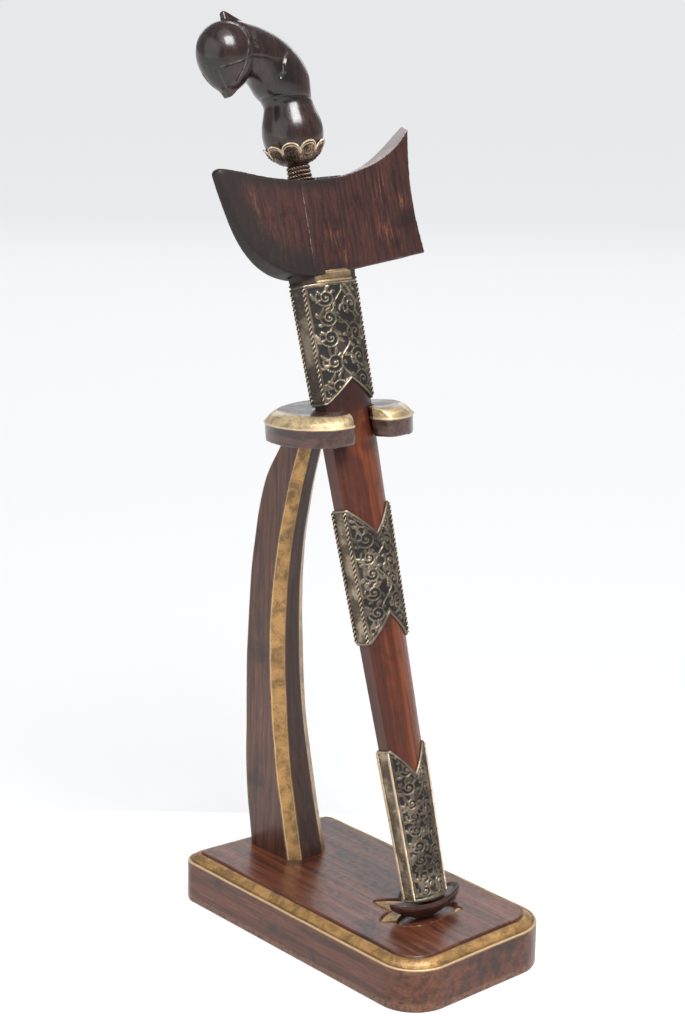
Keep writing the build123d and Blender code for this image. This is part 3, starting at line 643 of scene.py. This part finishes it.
def yoke_gilding(points, normals):
    """Gold on the rim from its lip up, but not where the stem passes through."""
    height = (points - SEAT_AT) @ SEAT_UP
    slope = normals @ SEAT_UP
    _, v, n = from_row(points)
    slot = (np.abs(points[:, 0]) < 17.5) & (np.abs(n) < 12.0)
    return ease(height, 9.5, 9.9) * (1 - ease(slope, 0.90, 0.97)) * np.where(slot, 0, 1)


ring = 1 - ease(slope, 0.90, 0.97)
finish_mesh("yoke_carved", yoke_mesh, yoke_wood, "stand", ["yoke"], depth=0.30, paint=yoke_gilding,
            shade_and_grime=3.4 * ring * (1 - ring) * (height > 13), rub_and_sheen=lip * (away > 14))

# ---- wrangka
CREASE_U = -12.8  # of the fine line down the wrangka's faces
LEFT_EDGE = [(-62.5, 411.6), (-57.0, 392.0), (-47.5, 370.5), (-31.0, 357.0), (-13.0, 352.2)]
wrangka_mesh = remesh(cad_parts["wrangka"].data.copy(), 0.65, 4)
u, v, n = from_row(mesh_facts(wrangka_mesh)[0])
left_edge = near_line(np.stack([u, v], axis=1), LEFT_EDGE)
soften(wrangka_mesh, ease(left_edge, 9.0, 3.0) * ease(u, -6, -14), 40)
points, _, normals, _ = mesh_facts(wrangka_mesh)
u, v, n = from_row(points)
top = np.interp(u, [-62, -43, -18, 14, 45, 72], [414, 410.2, 406.2, 405.6, 411.0, 426.0])
# the right end's top is a hollow leaf: its back edge runs forward and up to the pointed tip
near_top = ease(v, top - 14, top - 1)
shift = np.interp(u, [-62, -46, -30, -12, 6, 30, 60, 72], [1.3, 0.6, -0.9, -1.7, -1.7, -0.4, 0.3, 1.4])
rise = np.interp(u, [14, 36, 48, 60, 66, 72], [0, -1.0, -1.2, 1.2, 2.4, 2.4])
hollow = 1.1 * ease(u, 20, 44) * ease(u, 71, 64) * np.sin(pi * np.clip((9.5 - n) / 19, 0, 1)) * (v > top - 3)
narrow = np.interp(u, [28, 40, 48, 60, 66, 72], [0, 0.06, 0.12, 0.38, 0.55, 0.74]) * ease(v, top - 34, top - 3)
points += (AXIS * (near_top * (shift + rise * ease(n, 9.0, -8.0) - hollow))[:, None]
           + FRONT * (narrow * (9.5 - n))[:, None])
crease = np.exp(-((u - CREASE_U) / 0.45) ** 2) * (np.abs(n) > 8) * (v < top - 1)
points -= normals * (0.35 * crease)[:, None]
points += normals * (0.12 * waves(points, 22, 31))[:, None]
set_points(wrangka_mesh, points)
# painted shade: darker along the left edge, under the top edge and along the bottom
shade = 0.98 * ease(left_edge, 17, 7) * ease(u, -2, -12)
shade = np.maximum(shade, 0.90 * ease(top - v, 10, 2) * ease(u, 30, 0))
shade = np.maximum(shade, 0.8 * ease(v, 361, 355) * ease(u, 24, 10))
# painted reflection on the right end's upward faces, greyed through the pale attribute; the painted shade is lifted
# there
upper_face = ease(normals @ AXIS, 0.35, 0.6) * ease(u, 8, 26) * (v > 392)
shade *= 1 - upper_face
rubbed = 0.95 * np.exp(-((u + 13.4) / 0.45) ** 2) * (v < top - 2)
rubbed = np.maximum(rubbed, 0.5 * ease(u, 68, 70.5)) * (np.abs(n) > 4)
spot = seen_at(keris(u, v, np.abs(n)))
glow = 0.10 * np.ones(len(points))
# the streaks of light wood, as lines in the picture
for ends, wide in (([(262, 226), (279, 259)], 9.0), ([(333, 232), (347, 259)], 8.0), ([(381, 178), (379, 198)], 5.0),
                   ([(398, 196), (409, 204)], 7.0), ([(243, 190), (262, 214)], 6.0), ([(375, 222), (395, 240)], 9.0)):
    glow = np.maximum(glow, np.exp(-(near_line(spot, ends) / wide) ** 2))
write(wrangka_mesh, "glow", glow)
write(wrangka_mesh, "pale", upper_face)
finish_mesh("wrangka_carved", wrangka_mesh, wrangka_wood, "scabbard", ["wrangka"], reach=7, depth=0.34,
            shade_and_grime=shade, rub_and_sheen=rubbed)

# ---- toe
turn = np.linspace(0, 2 * pi, 120, endpoint=False)
plan = np.sign(np.cos(turn)) * np.abs(np.cos(turn)) ** 0.86, np.sign(np.sin(turn)) * np.abs(np.sin(turn)) ** 0.92
rows = []
profile = [(r, "top") for r in (0.002, 0.2, 0.4, 0.6, 0.72, 0.82, 0.89, 0.94, 0.975)]
profile += [(1.0, "rim"), (1.012, "side"), (1.0, "low")]
profile += [(r, "under") for r in (0.97, 0.92, 0.85, 0.75, 0.6, 0.45, 0.3, 0.15, 0.002)]
for share, kind in profile:
    u, n = 24.3 * share * plan[0], 9.8 * share * plan[1]
    lift = 4.7 + 4.4 * (u / 24.5) ** 2
    v = {"top": lift - 0.9 * ease(np.full(120, share), 0.95, 0.80), "rim": lift - 0.25, "side": lift - 1.4,
         "low": lift - 2.6, "under": -4.3 + 9.9 * (u / 24.5) ** 2 + 6.1 * (n / 10.0) ** 2}[kind]
    rows.append(keris(u, v, n))
toe_mesh = remesh(build("toe_carved", np.array(rows), grid(len(rows), 120)), 0.42, 2)
points, _, normals, _ = mesh_facts(toe_mesh)
points += normals * (0.10 * waves(points, 12, 41))[:, None]
set_points(toe_mesh, points)
finish_mesh("toe_carved", toe_mesh, toe_wood, "scabbard", ["toe"], depth=0.25)

# ---- chased mounts on the stem
STEM_BOTTOM, STEM_TOP = 5.6, 354.0
HALF_WIDTHS, HALF_THICK, HALF_SIDES = (10.7, 18.0), (8.0, 10.5), (3.6, 4.6)  # of the stem at its bottom and top
SHEET = 0.8  # how far the mounts' metal stands out from the stem


def stem_size(v, ends):
    low, high = ends
    return low + (high - low) * (v - STEM_BOTTOM) / (STEM_TOP - STEM_BOTTOM)


def section(v, grow):
    """Of the stem's almond section grown outwards: half its width, half a side strip, and what face() needs."""
    half, thick = stem_size(v, HALF_WIDTHS) + grow, stem_size(v, HALF_THICK) + grow
    flat = stem_size(v, HALF_SIDES) + grow * 0.4
    bow = (half**2 + (thick - flat) ** 2) / (2 * (thick - flat))
    return half, flat, (thick, bow, np.arcsin(half / bow))


def face(t, arc):
    """u and n at t across the front face, from -1 to 1, and the way out of it."""
    thick, bow, reach = arc
    out_u, out_n = np.sin(t * reach), np.cos(t * reach)
    return bow * out_u, thick - bow + bow * out_n, out_u, out_n


def scroll_lines(half, low, high, seed):
    """Chased foliage on a face: (points, width, height) of stems, curls and leaves, in mm on the face."""
    pick = np.random.default_rng(seed)
    lines = []
    v = [low + 3.0, low + 6.0]
    while min(v) < high - 3:
        column = int(np.argmin(v))
        side = 2 * column - 1
        radius = half * pick.uniform(0.30, 0.40)
        centre = np.array([side * half * pick.uniform(0.46, 0.54), v[column] + radius * 0.8])
        t = np.linspace(0, 1, 46)
        turn = side * (1.15 * pi - t * 3.2 * pi) + pick.uniform(-0.3, 0.3)
        spiral = centre + (radius * (1 - 0.78 * t))[:, None] * np.stack([np.cos(turn), np.sin(turn)], axis=1)
        lines.append((spiral, 0.42 + 0.14 * (1 - t), np.full(46, 1.0)))
        lines.append((centre[None] + 0.02 * np.arange(2)[:, None], np.full(2, 0.85), np.full(2, 0.9)))
        for k in range(8):
            base = spiral[int(3 + k * 4)]
            way = turn[int(3 + k * 4)] + pick.uniform(-0.9, 0.9)
            size = pick.uniform(2.8, 5.4)
            s = np.linspace(0, 1, 12)
            bend = way + 0.9 * side * s
            leaf = base + np.cumsum(np.stack([np.cos(bend), np.sin(bend)], axis=1) * size / 12, axis=0)
            lines.append((leaf, 0.25 + 0.75 * np.sin(pi * s) ** 0.8, 0.90 * np.ones(12)))
            lines.append((leaf[2:-2], np.full(8, 0.24), np.full(8, -0.45)))
        v[column] += radius * pick.uniform(1.9, 2.3)
    t = np.linspace(0, 1, 160)
    vine = np.stack([0.30 * half * np.sin(2 * pi * (high - low) / (half * 1.7) * t), low + (high - low) * t], axis=1)
    lines.append((vine, np.full(160, 0.50), np.full(160, 0.95)))
    return lines


def chase(x, v, half, low, high, seed):
    """Relief of the foliage at face points, in mm."""
    height, cut = np.zeros(len(x)), np.zeros(len(x))
    for line, width, tall in scroll_lines(half, low, high, seed):
        (left, bottom), (right, top) = line.min(axis=0) - 3, line.max(axis=0) + 3
        where = np.nonzero((v > bottom) & (v < top) & (x > left) & (x < right))[0]
        if not len(where):
            continue
        gap = np.hypot(x[where, None] - line[None, :, 0], v[where, None] - line[None, :, 1])
        shape = tall * np.exp(-((gap / width) ** 2) * 1.1)
        if tall[0] > 0:
            height[where] = np.maximum(height[where], shape.max(axis=1))
        else:
            cut[where] = np.minimum(cut[where], shape.min(axis=1))
    return height + cut + 0.10 * np.sin(x * 5.1 + 2 * np.sin(v * 1.3)) * np.sin(v * 4.7 + 2 * np.sin(x * 1.1))


def sleeve(name, node, low, high, notch_low, notch_high, seed, face_darkening, side_darkening):
    """A chased sheet-metal mount wrapped round the stem, its ends cut to a V on both faces."""
    across, strip = np.linspace(-1, 1, 96), np.linspace(-1, 1, 12)
    columns = [("face", t, 1) for t in across] + [("side", s, 1) for s in strip[::-1][1:-1]]
    columns += [("face", -t, -1) for t in across] + [("side", s, -1) for s in strip[1:-1]]
    rows = int((high - low) / 0.5)
    share = np.linspace(0, 1, rows)
    points = np.zeros((rows + 2, len(columns), 3))
    relief, shade_and_grime = np.zeros((rows, len(columns))), np.zeros((rows + 2, len(columns)))
    edge_low, edge_high = stem_size(low, HALF_WIDTHS) - 0.6, stem_size(high, HALF_WIDTHS) - 0.6
    slant = np.sqrt(1 + (notch_high / edge_high) ** 2)
    ways, chased = [], {1: [], -1: []}
    for j, (kind, t, sign) in enumerate(columns):
        start, end = low, high
        if kind == "face":
            start = low + notch_low * max(0.0, 1 - abs(face(t, section(low, SHEET)[2])[0]) / edge_low)
            end = high - notch_high * max(0.0, 1 - abs(face(t, section(high, SHEET)[2])[0]) / edge_high)
        v = start + (end - start) * share
        half, flat, arc = section(v, SHEET)
        rim = np.minimum(v - start, end - v)
        if kind == "face":
            u, n, out_u, out_n = face(t, arc)
            n, out_n = n * sign, out_n * sign
            chased[sign].append((j, v, u, rim / slant, half - np.abs(u)))
        else:
            u, n = half * sign, flat * t
            out_u, out_n = np.full(rows, float(sign)), np.zeros(rows)
            hatch = 0.26 * np.sin(2 * pi * (v / 2.2 - sign * t * 1.3)) * ease(abs(t), 0.15, 0.5)
            relief[:, j] = hatch + 0.5 * np.exp(-(((rim - 0.7) / 0.5) ** 2))
            shade_and_grime[1:-1, j] = side_darkening
        points[1:-1, j] = keris(u, v, n)
        ways.append(out_u[:, None] * np.array([1.0, 0, 0]) + out_n[:, None] * FRONT)
        for end_row in (0, -1):
            points[end_row, j] = keris(u[end_row] - 0.75 * out_u[end_row], v[end_row],
                                       n[end_row] - 0.75 * out_n[end_row])
    for sign, strips in chased.items():
        x, v = (np.concatenate([item[k] for item in strips]) for k in (2, 1))
        height = chase(x, v, stem_size((low + high) / 2, HALF_WIDTHS), low, high, seed + sign)
        for (j, _, x, rim, inside), column in zip(strips, height.reshape(len(strips), rows)):
            field = ease(rim, 1.6, 2.6) * ease(inside, 1.0, 1.8)
            bead = 0.75 * np.exp(-(((rim - 0.8) / 0.55) ** 2)) + 0.40 * np.exp(-(((rim - 2.1) / 0.28) ** 2))
            edge = 0.35 * np.exp(-(((inside - 0.9) / 0.3) ** 2))
            pearls = 0.25 * np.exp(-(((rim - 2.1) / 0.4) ** 2)) * np.cos(2 * pi * x / 1.3)
            relief[:, j] = column * field + bead + pearls + edge * ease(rim, 1.5, 2.5)
            shade_and_grime[1:-1, j] = np.maximum(0.62 * field * (1 - ease(column, 0.15, 0.60)), face_darkening)
    for j, way in enumerate(ways):
        points[1:-1, j] += way * relief[:, j, None]
    solid = points, grid(rows + 2, len(columns), close=True)
    finish_mesh(name, solid, mount_metal, "scabbard", [node], reach=5, depth=0.22, shade_and_grime=shade_and_grime.ravel())


def border_ropes(name, node, low, high):
    """Four lengths of twisted wire along a mount's corners."""
    v = np.arange(low + 1.5, high - 1.0, 0.32)
    u, n = stem_size(v, HALF_WIDTHS) + 1.20, stem_size(v, HALF_SIDES) + 0.75
    ropes = [rope(keris(side_u * u, v, side_n * n), 0.42, 0.44, 2.6) for side_u in (-1, 1) for side_n in (-1, 1)]
    finish_mesh(name, join(ropes), wire_metal, "scabbard", [node], reach=3, depth=0.12)


SLEEVES = [  # low and high end, depth of the V at each, seed, least darkening on the faces, darkening on the side strips
    ("upper", 283.0, 348.8, 12.5, 0.0, 50, 0.0, 0.36), ("middle", 151.0, 226.0, 15.0, 15.0, 60, 0.30, 0.0),
    ("lower", 6.0, 92.0, 0.0, 15.0, 70, 0.30, 0.0)]
for label, low, high, *rest in SLEEVES:
    sleeve(label + "_sleeve_chased", label + "_sleeve", low, high, *rest)
    border_ropes(label + "_border_ropes", label + "_border_wires", low, high)

# collar: a plain band between two beads, under the wrangka
rows = []
for v, grow in ((348.6, 0.2), (348.6, 1.5), (349.0, 2.0), (349.5, 2.0), (349.9, 1.5), (350.2, 1.3), (351.6, 1.45),
                (353.0, 1.5), (353.4, 1.7), (353.9, 1.9), (354.5, 1.8), (354.9, 1.4), (354.9, 0.2)):
    u, n, _, _ = face(np.linspace(-1, 1, 60), section(v, grow)[2])
    rows.append(np.concatenate([keris(u, v, n), keris(-u, v, -n)]))
# painted shade: the collar's side strips are darkened
around = from_row(np.array(rows))[0].ravel()
finish_mesh("upper_collar_band", (np.array(rows), grid(len(rows), 120, close=True)), collar_metal, "scabbard",
            ["upper_collar"], reach=3, depth=0.2, shade_and_grime=0.9 * ease(np.abs(around), 10.5, 14.5))

# ---- ferrule
TANG_U = -4.0
HILT_FOOT = np.array([(8.2, 414.8), (11.9, 418.0), (15.2, 424.0), (16.2, 430.0)])
PETALS = 9
CUP_BOTTOM, PETAL_FOOT, ROSETTE_V = 412.6, 418.6, 419.6


def round_tang(radius, v, turn):
    return keris(TANG_U + radius * np.cos(turn), v, radius * np.sin(turn))


def cup_radius(v):
    return np.interp(v, [CUP_BOTTOM, 413.6, *HILT_FOOT[:, 1]], [4.7, 5.6, *(HILT_FOOT[:, 0] + 0.55)])


def petal_top(place, rise=5.4):
    """Height of the petals' edge, at a place across a petal from -1 to 1."""
    return PETAL_FOOT + rise * np.sqrt(np.clip(1 - place**2, 0, 1)) ** 0.9


def across_petal(turn):
    return ((turn * PETALS / (2 * pi)) % 1) * 2 - 1


turn = np.linspace(0, 2 * pi, 9 * 26, endpoint=False)
place = across_petal(turn)
arch = petal_top(place)
rows = []
for t in np.linspace(0, 1, 34):
    v = CUP_BOTTOM + (arch - CUP_BOTTOM) * t
    radius = cup_radius(v) + 0.4 + 0.4 * ease(t, 0.55, 1.0) * (1 - place**2)
    vein = (0.35 * np.exp(-(((np.abs(place) - 0.97) / 0.06) ** 2))
            + 0.22 * np.cos(place * 5 * pi) * ease(t, 0.05, 0.4) * (1 - ease(t, 0.5, 0.7)))
    dx, dv = place * 5.4, v - ROSETTE_V
    gap = np.hypot(dx, dv)
    spokes = 0.5 + 0.5 * np.cos(8 * np.arctan2(dv, dx))
    rosette = 0.45 * np.exp(-((gap - 2.2) / 0.4) ** 2) + 0.35 * spokes * np.exp(-((gap - 1.2) / 0.6) ** 2)
    rows.append(round_tang(radius + vein + rosette, v, turn))
for t in np.linspace(1, 0, 10):
    v = CUP_BOTTOM + (arch - CUP_BOTTOM) * t
    radius = cup_radius(v) + 0.05 + 0.3 * ease(t, 0.55, 1.0) * (1 - place**2)
    rows.append(round_tang(np.maximum(radius - 0.35, 3.0), v, turn))
finish_mesh("ferrule_cup_chased", (np.array(rows), grid(len(rows), len(turn), close=True)), ferrule_metal, "ferrule",
            ["ferrule_cup", "petal_plates"], reach=5, depth=0.20)

dense = np.linspace(0, 2 * pi, 9 * 60, endpoint=False)
place = across_petal(dense)
arch, inner_arch = petal_top(place), petal_top(place / 0.9, 4.1)
path = round_tang(cup_radius(arch) + 0.60 + 0.45 * (1 - place**2), arch, dense)
path_in = round_tang(cup_radius(inner_arch) + 0.75 + 0.35 * (1 - place**2), inner_arch, dense)
ropes = [rope(path, 0.28, 0.33, 1.5, closed=True), rope(path_in, 0.16, 0.18, 0.9, closed=True)]
finish_mesh("petal_ropes", join(ropes), wire_metal, "ferrule", ["petal_wires"], reach=3, depth=0.10)

grains = []
for k in range(PETALS):
    middle = (k + 0.5) * 2 * pi / PETALS
    for ring, many, size in ((0.0, 1, 0.75), (1.45, 8, 0.42), (2.6, 12, 0.28)):
        for j in range(many):
            spin = 2 * pi * j / many
            v = 419.8 + ring * sin(spin)
            radius = float(cup_radius(v)) + 1.05 + 0.05 * (v - 419)
            at = round_tang(radius, v, middle + ring * cos(spin) / radius)
            grains.append(ball(at, size, at - round_tang(0.0, v - 3.0, 0.0), 0.8))
    for j in range(4):
        v = 417.6 - 1.1 * j
        at = round_tang(float(cup_radius(v)) + 0.75, v, middle + pi / PETALS)
        grains.append(ball(at, 0.42 - 0.05 * j))
finish_mesh("petal_grains", join(grains), ferrule_metal, "ferrule", ["petal_rosettes"], reach=2,
            depth=0.3)

ring_turn = np.linspace(0, 2 * pi, 110, endpoint=False)
rings = [rope(round_tang(wide, v, ring_turn), 0.50, 0.62, 3.2, closed=True)
         for v, wide in ((405.1, 6.0), (407.3, 5.7), (409.5, 5.45), (411.7, 5.45))]
finish_mesh("neck_ropes", join(rings), ferrule_metal, "ferrule", ["neck_rings"], reach=3, depth=0.14)

# ---- hilt
SPINE = np.array([  # centre u, centre v, half width, turn to the left in degrees, half thickness
    (-4.0, 414.9, 8.0, 0, 8.0), (-4.0, 418.0, 12.2, 0, 12.2), (-4.0, 424.0, 15.6, 0, 15.6),
    (-3.8, 430.0, 16.8, 0, 16.6), (-3.8, 436.0, 16.2, 0, 16.0), (-3.8, 442.0, 14.4, 0, 14.2),
    (-3.9, 447.0, 13.4, 2, 13.2), (-4.9, 451.5, 14.6, 6, 14.2), (-6.2, 457.0, 16.2, 15, 15.2),
    (-9.0, 463.2, 16.4, 30, 15.2), (-14.2, 469.2, 15.8, 48, 14.4), (-21.0, 473.4, 15.2, 66, 13.6),
    (-28.5, 475.8, 15.3, 79, 13.2), (-34.0, 476.4, 15.2, 86, 13.0), (-38.0, 476.4, 11.0, 90, 10.0)])
WAIST_V = 448.6
HEAD_LONG, HEAD_TALL, HEAD_WIDE = 15.9, 17.8, 15.6  # half sizes, along u, v and n
ROUND = 56  # points round the neck and the head
turn = np.linspace(0, 2 * pi, ROUND, endpoint=False)
rows = []
for s in np.linspace(0, len(SPINE) - 1, 110):
    cu, cv, wide, tilt, thick = (through(np.arange(len(SPINE)), SPINE[:, k], s) for k in range(5))
    tilt = radians(tilt)
    rows.append(keris(cu + wide * cos(tilt) * np.cos(turn), cv + wide * sin(tilt) * np.cos(turn), thick * np.sin(turn)))
first, last = (np.repeat(rows[k].mean(axis=0)[None], ROUND, axis=0) for k in (0, -1))
tube = np.array([first, *rows, last])
lat = np.linspace(0.01, pi - 0.01, 40)
head_u = -40.6 + HEAD_LONG * np.cos(lat)[:, None] * np.ones(ROUND)
head_v = HEAD_TALL * np.sin(lat)[:, None] * np.cos(turn)
chin = np.clip(-head_v / HEAD_TALL, 0, 1)
head = keris(head_u - 1.5 * chin**2, 474.8 + head_v * (1 + 0.16 * chin**1.5),
             HEAD_WIDE * np.sin(lat)[:, None] * np.sin(turn) * (1 - 0.22 * chin**2))


def wedge(outline, thickness):
    """A solid round an outline in the middle plane, with its thickness at each corner."""
    outline, half = np.array(outline, float), np.array(thickness, float) / 2
    centre = np.repeat(outline.mean(axis=0)[None], len(half), axis=0)
    layers = [(centre, half.mean()), (outline, half), (outline, -half), (centre, -half.mean())]
    return np.array([keris(at[:, 0], at[:, 1], n * np.ones(len(half))) for at, n in layers]), grid(4, len(half))


crest = wedge([(-39.4, 495.8), (-38.6, 497.6), (-36.6, 497.2), (-30, 493.4), (-20, 488.2), (-6, 481.4),
               (-10, 466), (-34, 470), (-37.8, 486)], [3.2, 3.0, 3.0, 3.6, 5.0, 8.0, 22.0, 22.0, 7.0])
beak = wedge([(-46.0, 464.0), (-46.6, 457.0), (-45.0, 451.4), (-42.4, 452.2), (-36.5, 457.5), (-31.0, 464.0),
              (-38.0, 470.0)], [12.0, 8.5, 4.2, 5.5, 10.5, 13.0, 15.0])
solids = join([(tube, grid(len(tube), ROUND)), (head, grid(len(lat), ROUND)), crest, beak])
hilt_mesh = remesh(build("hilt_carved", *solids), 0.48, 9)
points, _, normals, _ = mesh_facts(hilt_mesh)
u, v, n = from_row(points)
mirrored = keris(u, v, np.abs(n))
_, normal_v, normal_n = from_row(normals + FOOT)
mirrored_normal = keris(normals[:, 0], normal_v, np.abs(normal_n)) - FOOT
facing = mirrored_normal @ to_camera > 0.05
spot = seen_at(mirrored)
CARVED = [  # width and depth in mm, then the line in the picture
    (0.75, 0.50, [(225, 20.8), (235.9, 22.4), (244.4, 27.3), (248.6, 36.4), (249.8, 46.1), (247.4, 60.6), (242.6, 72.7),
                  (237.7, 81.2)]),
    (0.60, 0.45, [(220.2, 66.9), (233.5, 63.0), (244.6, 59.4)]),
    (0.55, 0.40, [(250.5, 57), (254.1, 55.5), (263.8, 56), (274.7, 58.8), (283.8, 59.4)]),
    (0.90, 0.75, [(289.2, 51.5), (285, 57), (283.2, 63), (283.8, 71.5), (280.8, 76.4)]),
    (0.50, 0.30, [(264.4, 57), (263.8, 71.5)]),
    (0.90, 0.70, [(215.9, 70.3), (220.5, 80), (225, 89)]),
    (0.60, 0.40, [(221, 69), (228, 84)])]
cut = np.zeros(len(points))
for width, depth, line in CARVED:
    gap = near_line(spot, line) / 1.85
    cut = np.maximum(cut, depth * np.exp(-((gap / width) ** 2)) * facing)
    cut = cut - 0.25 * depth * np.exp(-(((gap - 1.7 * width) / (0.8 * width)) ** 2)) * facing * (cut < 0.1)
waist = np.exp(-(((v - WAIST_V + 0.10 * (u - TANG_U)) / 0.7) ** 2)) * (np.abs(u - TANG_U) < 20)
cut += 0.45 * waist * (v < 455)
points -= normals * cut[:, None]
set_points(hilt_mesh, points)
# pale marks on the hilt: pale lines along the carving and the waist, and a painted sheen on the neck behind the head
pale_lines = np.max([np.exp(-(near_line(spot, CARVED[k][2]) / 1.15) ** 2) * facing for k in (0, 1, 3)], axis=0)
finish_mesh("hilt_carved", hilt_mesh, hilt_wood, "hilt", ["hilt"], reach=5, depth=0.26,
            rub_and_sheen=np.maximum.reduce([0.70 * pale_lines, 0.5 * waist * (v < 455) * ease(u, -8, 4),
                                   0.50 * facing * np.exp(-(near_line(spot, [(253, 30), (257, 47)]) / 6) ** 2)]))

# ---- finishes of the nodes that stay
STAYING = {"stem_front": stem_wood, "stem_back": stem_wood, "toe_peg": peg_wood,
           "yoke_dowels": peg_wood, "post_screws": screw_metal, "blade": blade_metal, "guard": blade_metal,
           "tang": tang_metal, "tang_wrap": wrap_cloth, "ferrule_neck": ferrule_metal}
for node, material in STAYING.items():
    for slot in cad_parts[node].material_slots:
        slot.material = material

# ---- floor, light and air
floor_mesh = bpy.data.meshes.new("floor")
floor_mesh.from_pydata([(-30, -30, 0), (30, -30, 0), (30, 30, 0), (-30, 30, 0)], [], [(0, 1, 2, 3)])
floor = bpy.data.objects.new("floor", floor_mesh)
bpy.context.scene.collection.objects.link(floor)
paper = Paint("floor_paper", Specular_IOR_Level=0.05, Emission_Strength=0.76)
away = np.array([-to_camera[0], -to_camera[1]]) / np.hypot(to_camera[0], to_camera[1])
behind = paper.sums(paper.math("MULTIPLY", paper.along(paper.object, "X"), float(away[0])),
                    paper.math("MULTIPLY", paper.along(paper.object, "Y"), float(away[1])))
fibre = paper.noise(paper.even(0.8), 3.0, 0.6)
beyond = paper.span(behind, 0.163, 0.166)
sheet = paper.mix(beyond, (0.32, 0.32, 0.32), (0.25, 0.253, 0.256))
paper.tree.links.new(paper.mix(beyond, (1.0, 1.0, 1.0), (0.895, 0.90, 0.91)), paper.shader.inputs["Emission Color"])
floor_mesh.materials.append(paper.done(sheet, paper.span(fibre, 0.3, 0.7, 0.75, 0.9), paper.bump(fibre, 0.03)))

world = bpy.data.worlds.new("room")
world.use_nodes = True
background = world.node_tree.nodes["Background"].inputs
background["Color"].default_value = (0.93, 0.95, 1.0, 1)
background["Strength"].default_value = 0.30
bpy.context.scene.world = world
bpy.context.scene.view_settings.view_transform = "Standard"


def light(name, kind, at, energy, colour=(1, 1, 1), **settings):
    data = bpy.data.lights.new(name, kind)
    data.energy = energy
    data.color = colour
    for key, value in settings.items():
        setattr(data, key, value)
    lamp = bpy.data.objects.new(name, data)
    target = Vector((0, 0.01, 0.27))
    lamp.location = at
    lamp.rotation_euler = (target - Vector(at)).to_track_quat("-Z", "Y").to_euler()
    bpy.context.scene.collection.objects.link(lamp)


light("window", "AREA", (-0.30, -1.05, 1.85), 46, (1.0, 0.985, 0.96), shape="RECTANGLE", size=0.95, size_y=0.80)
light("room_left", "AREA", (-2.4, 0.2, 1.3), 26, (0.95, 0.97, 1.0), shape="RECTANGLE", size=3.2, size_y=2.4)
light("room_behind", "AREA", (1.65, 1.85, 1.25), 15, (0.96, 0.98, 1.0), shape="RECTANGLE", size=2.8, size_y=1.1)
light("sky", "SUN", (-0.4, -0.6, 2.0), 0.6, angle=radians(50))
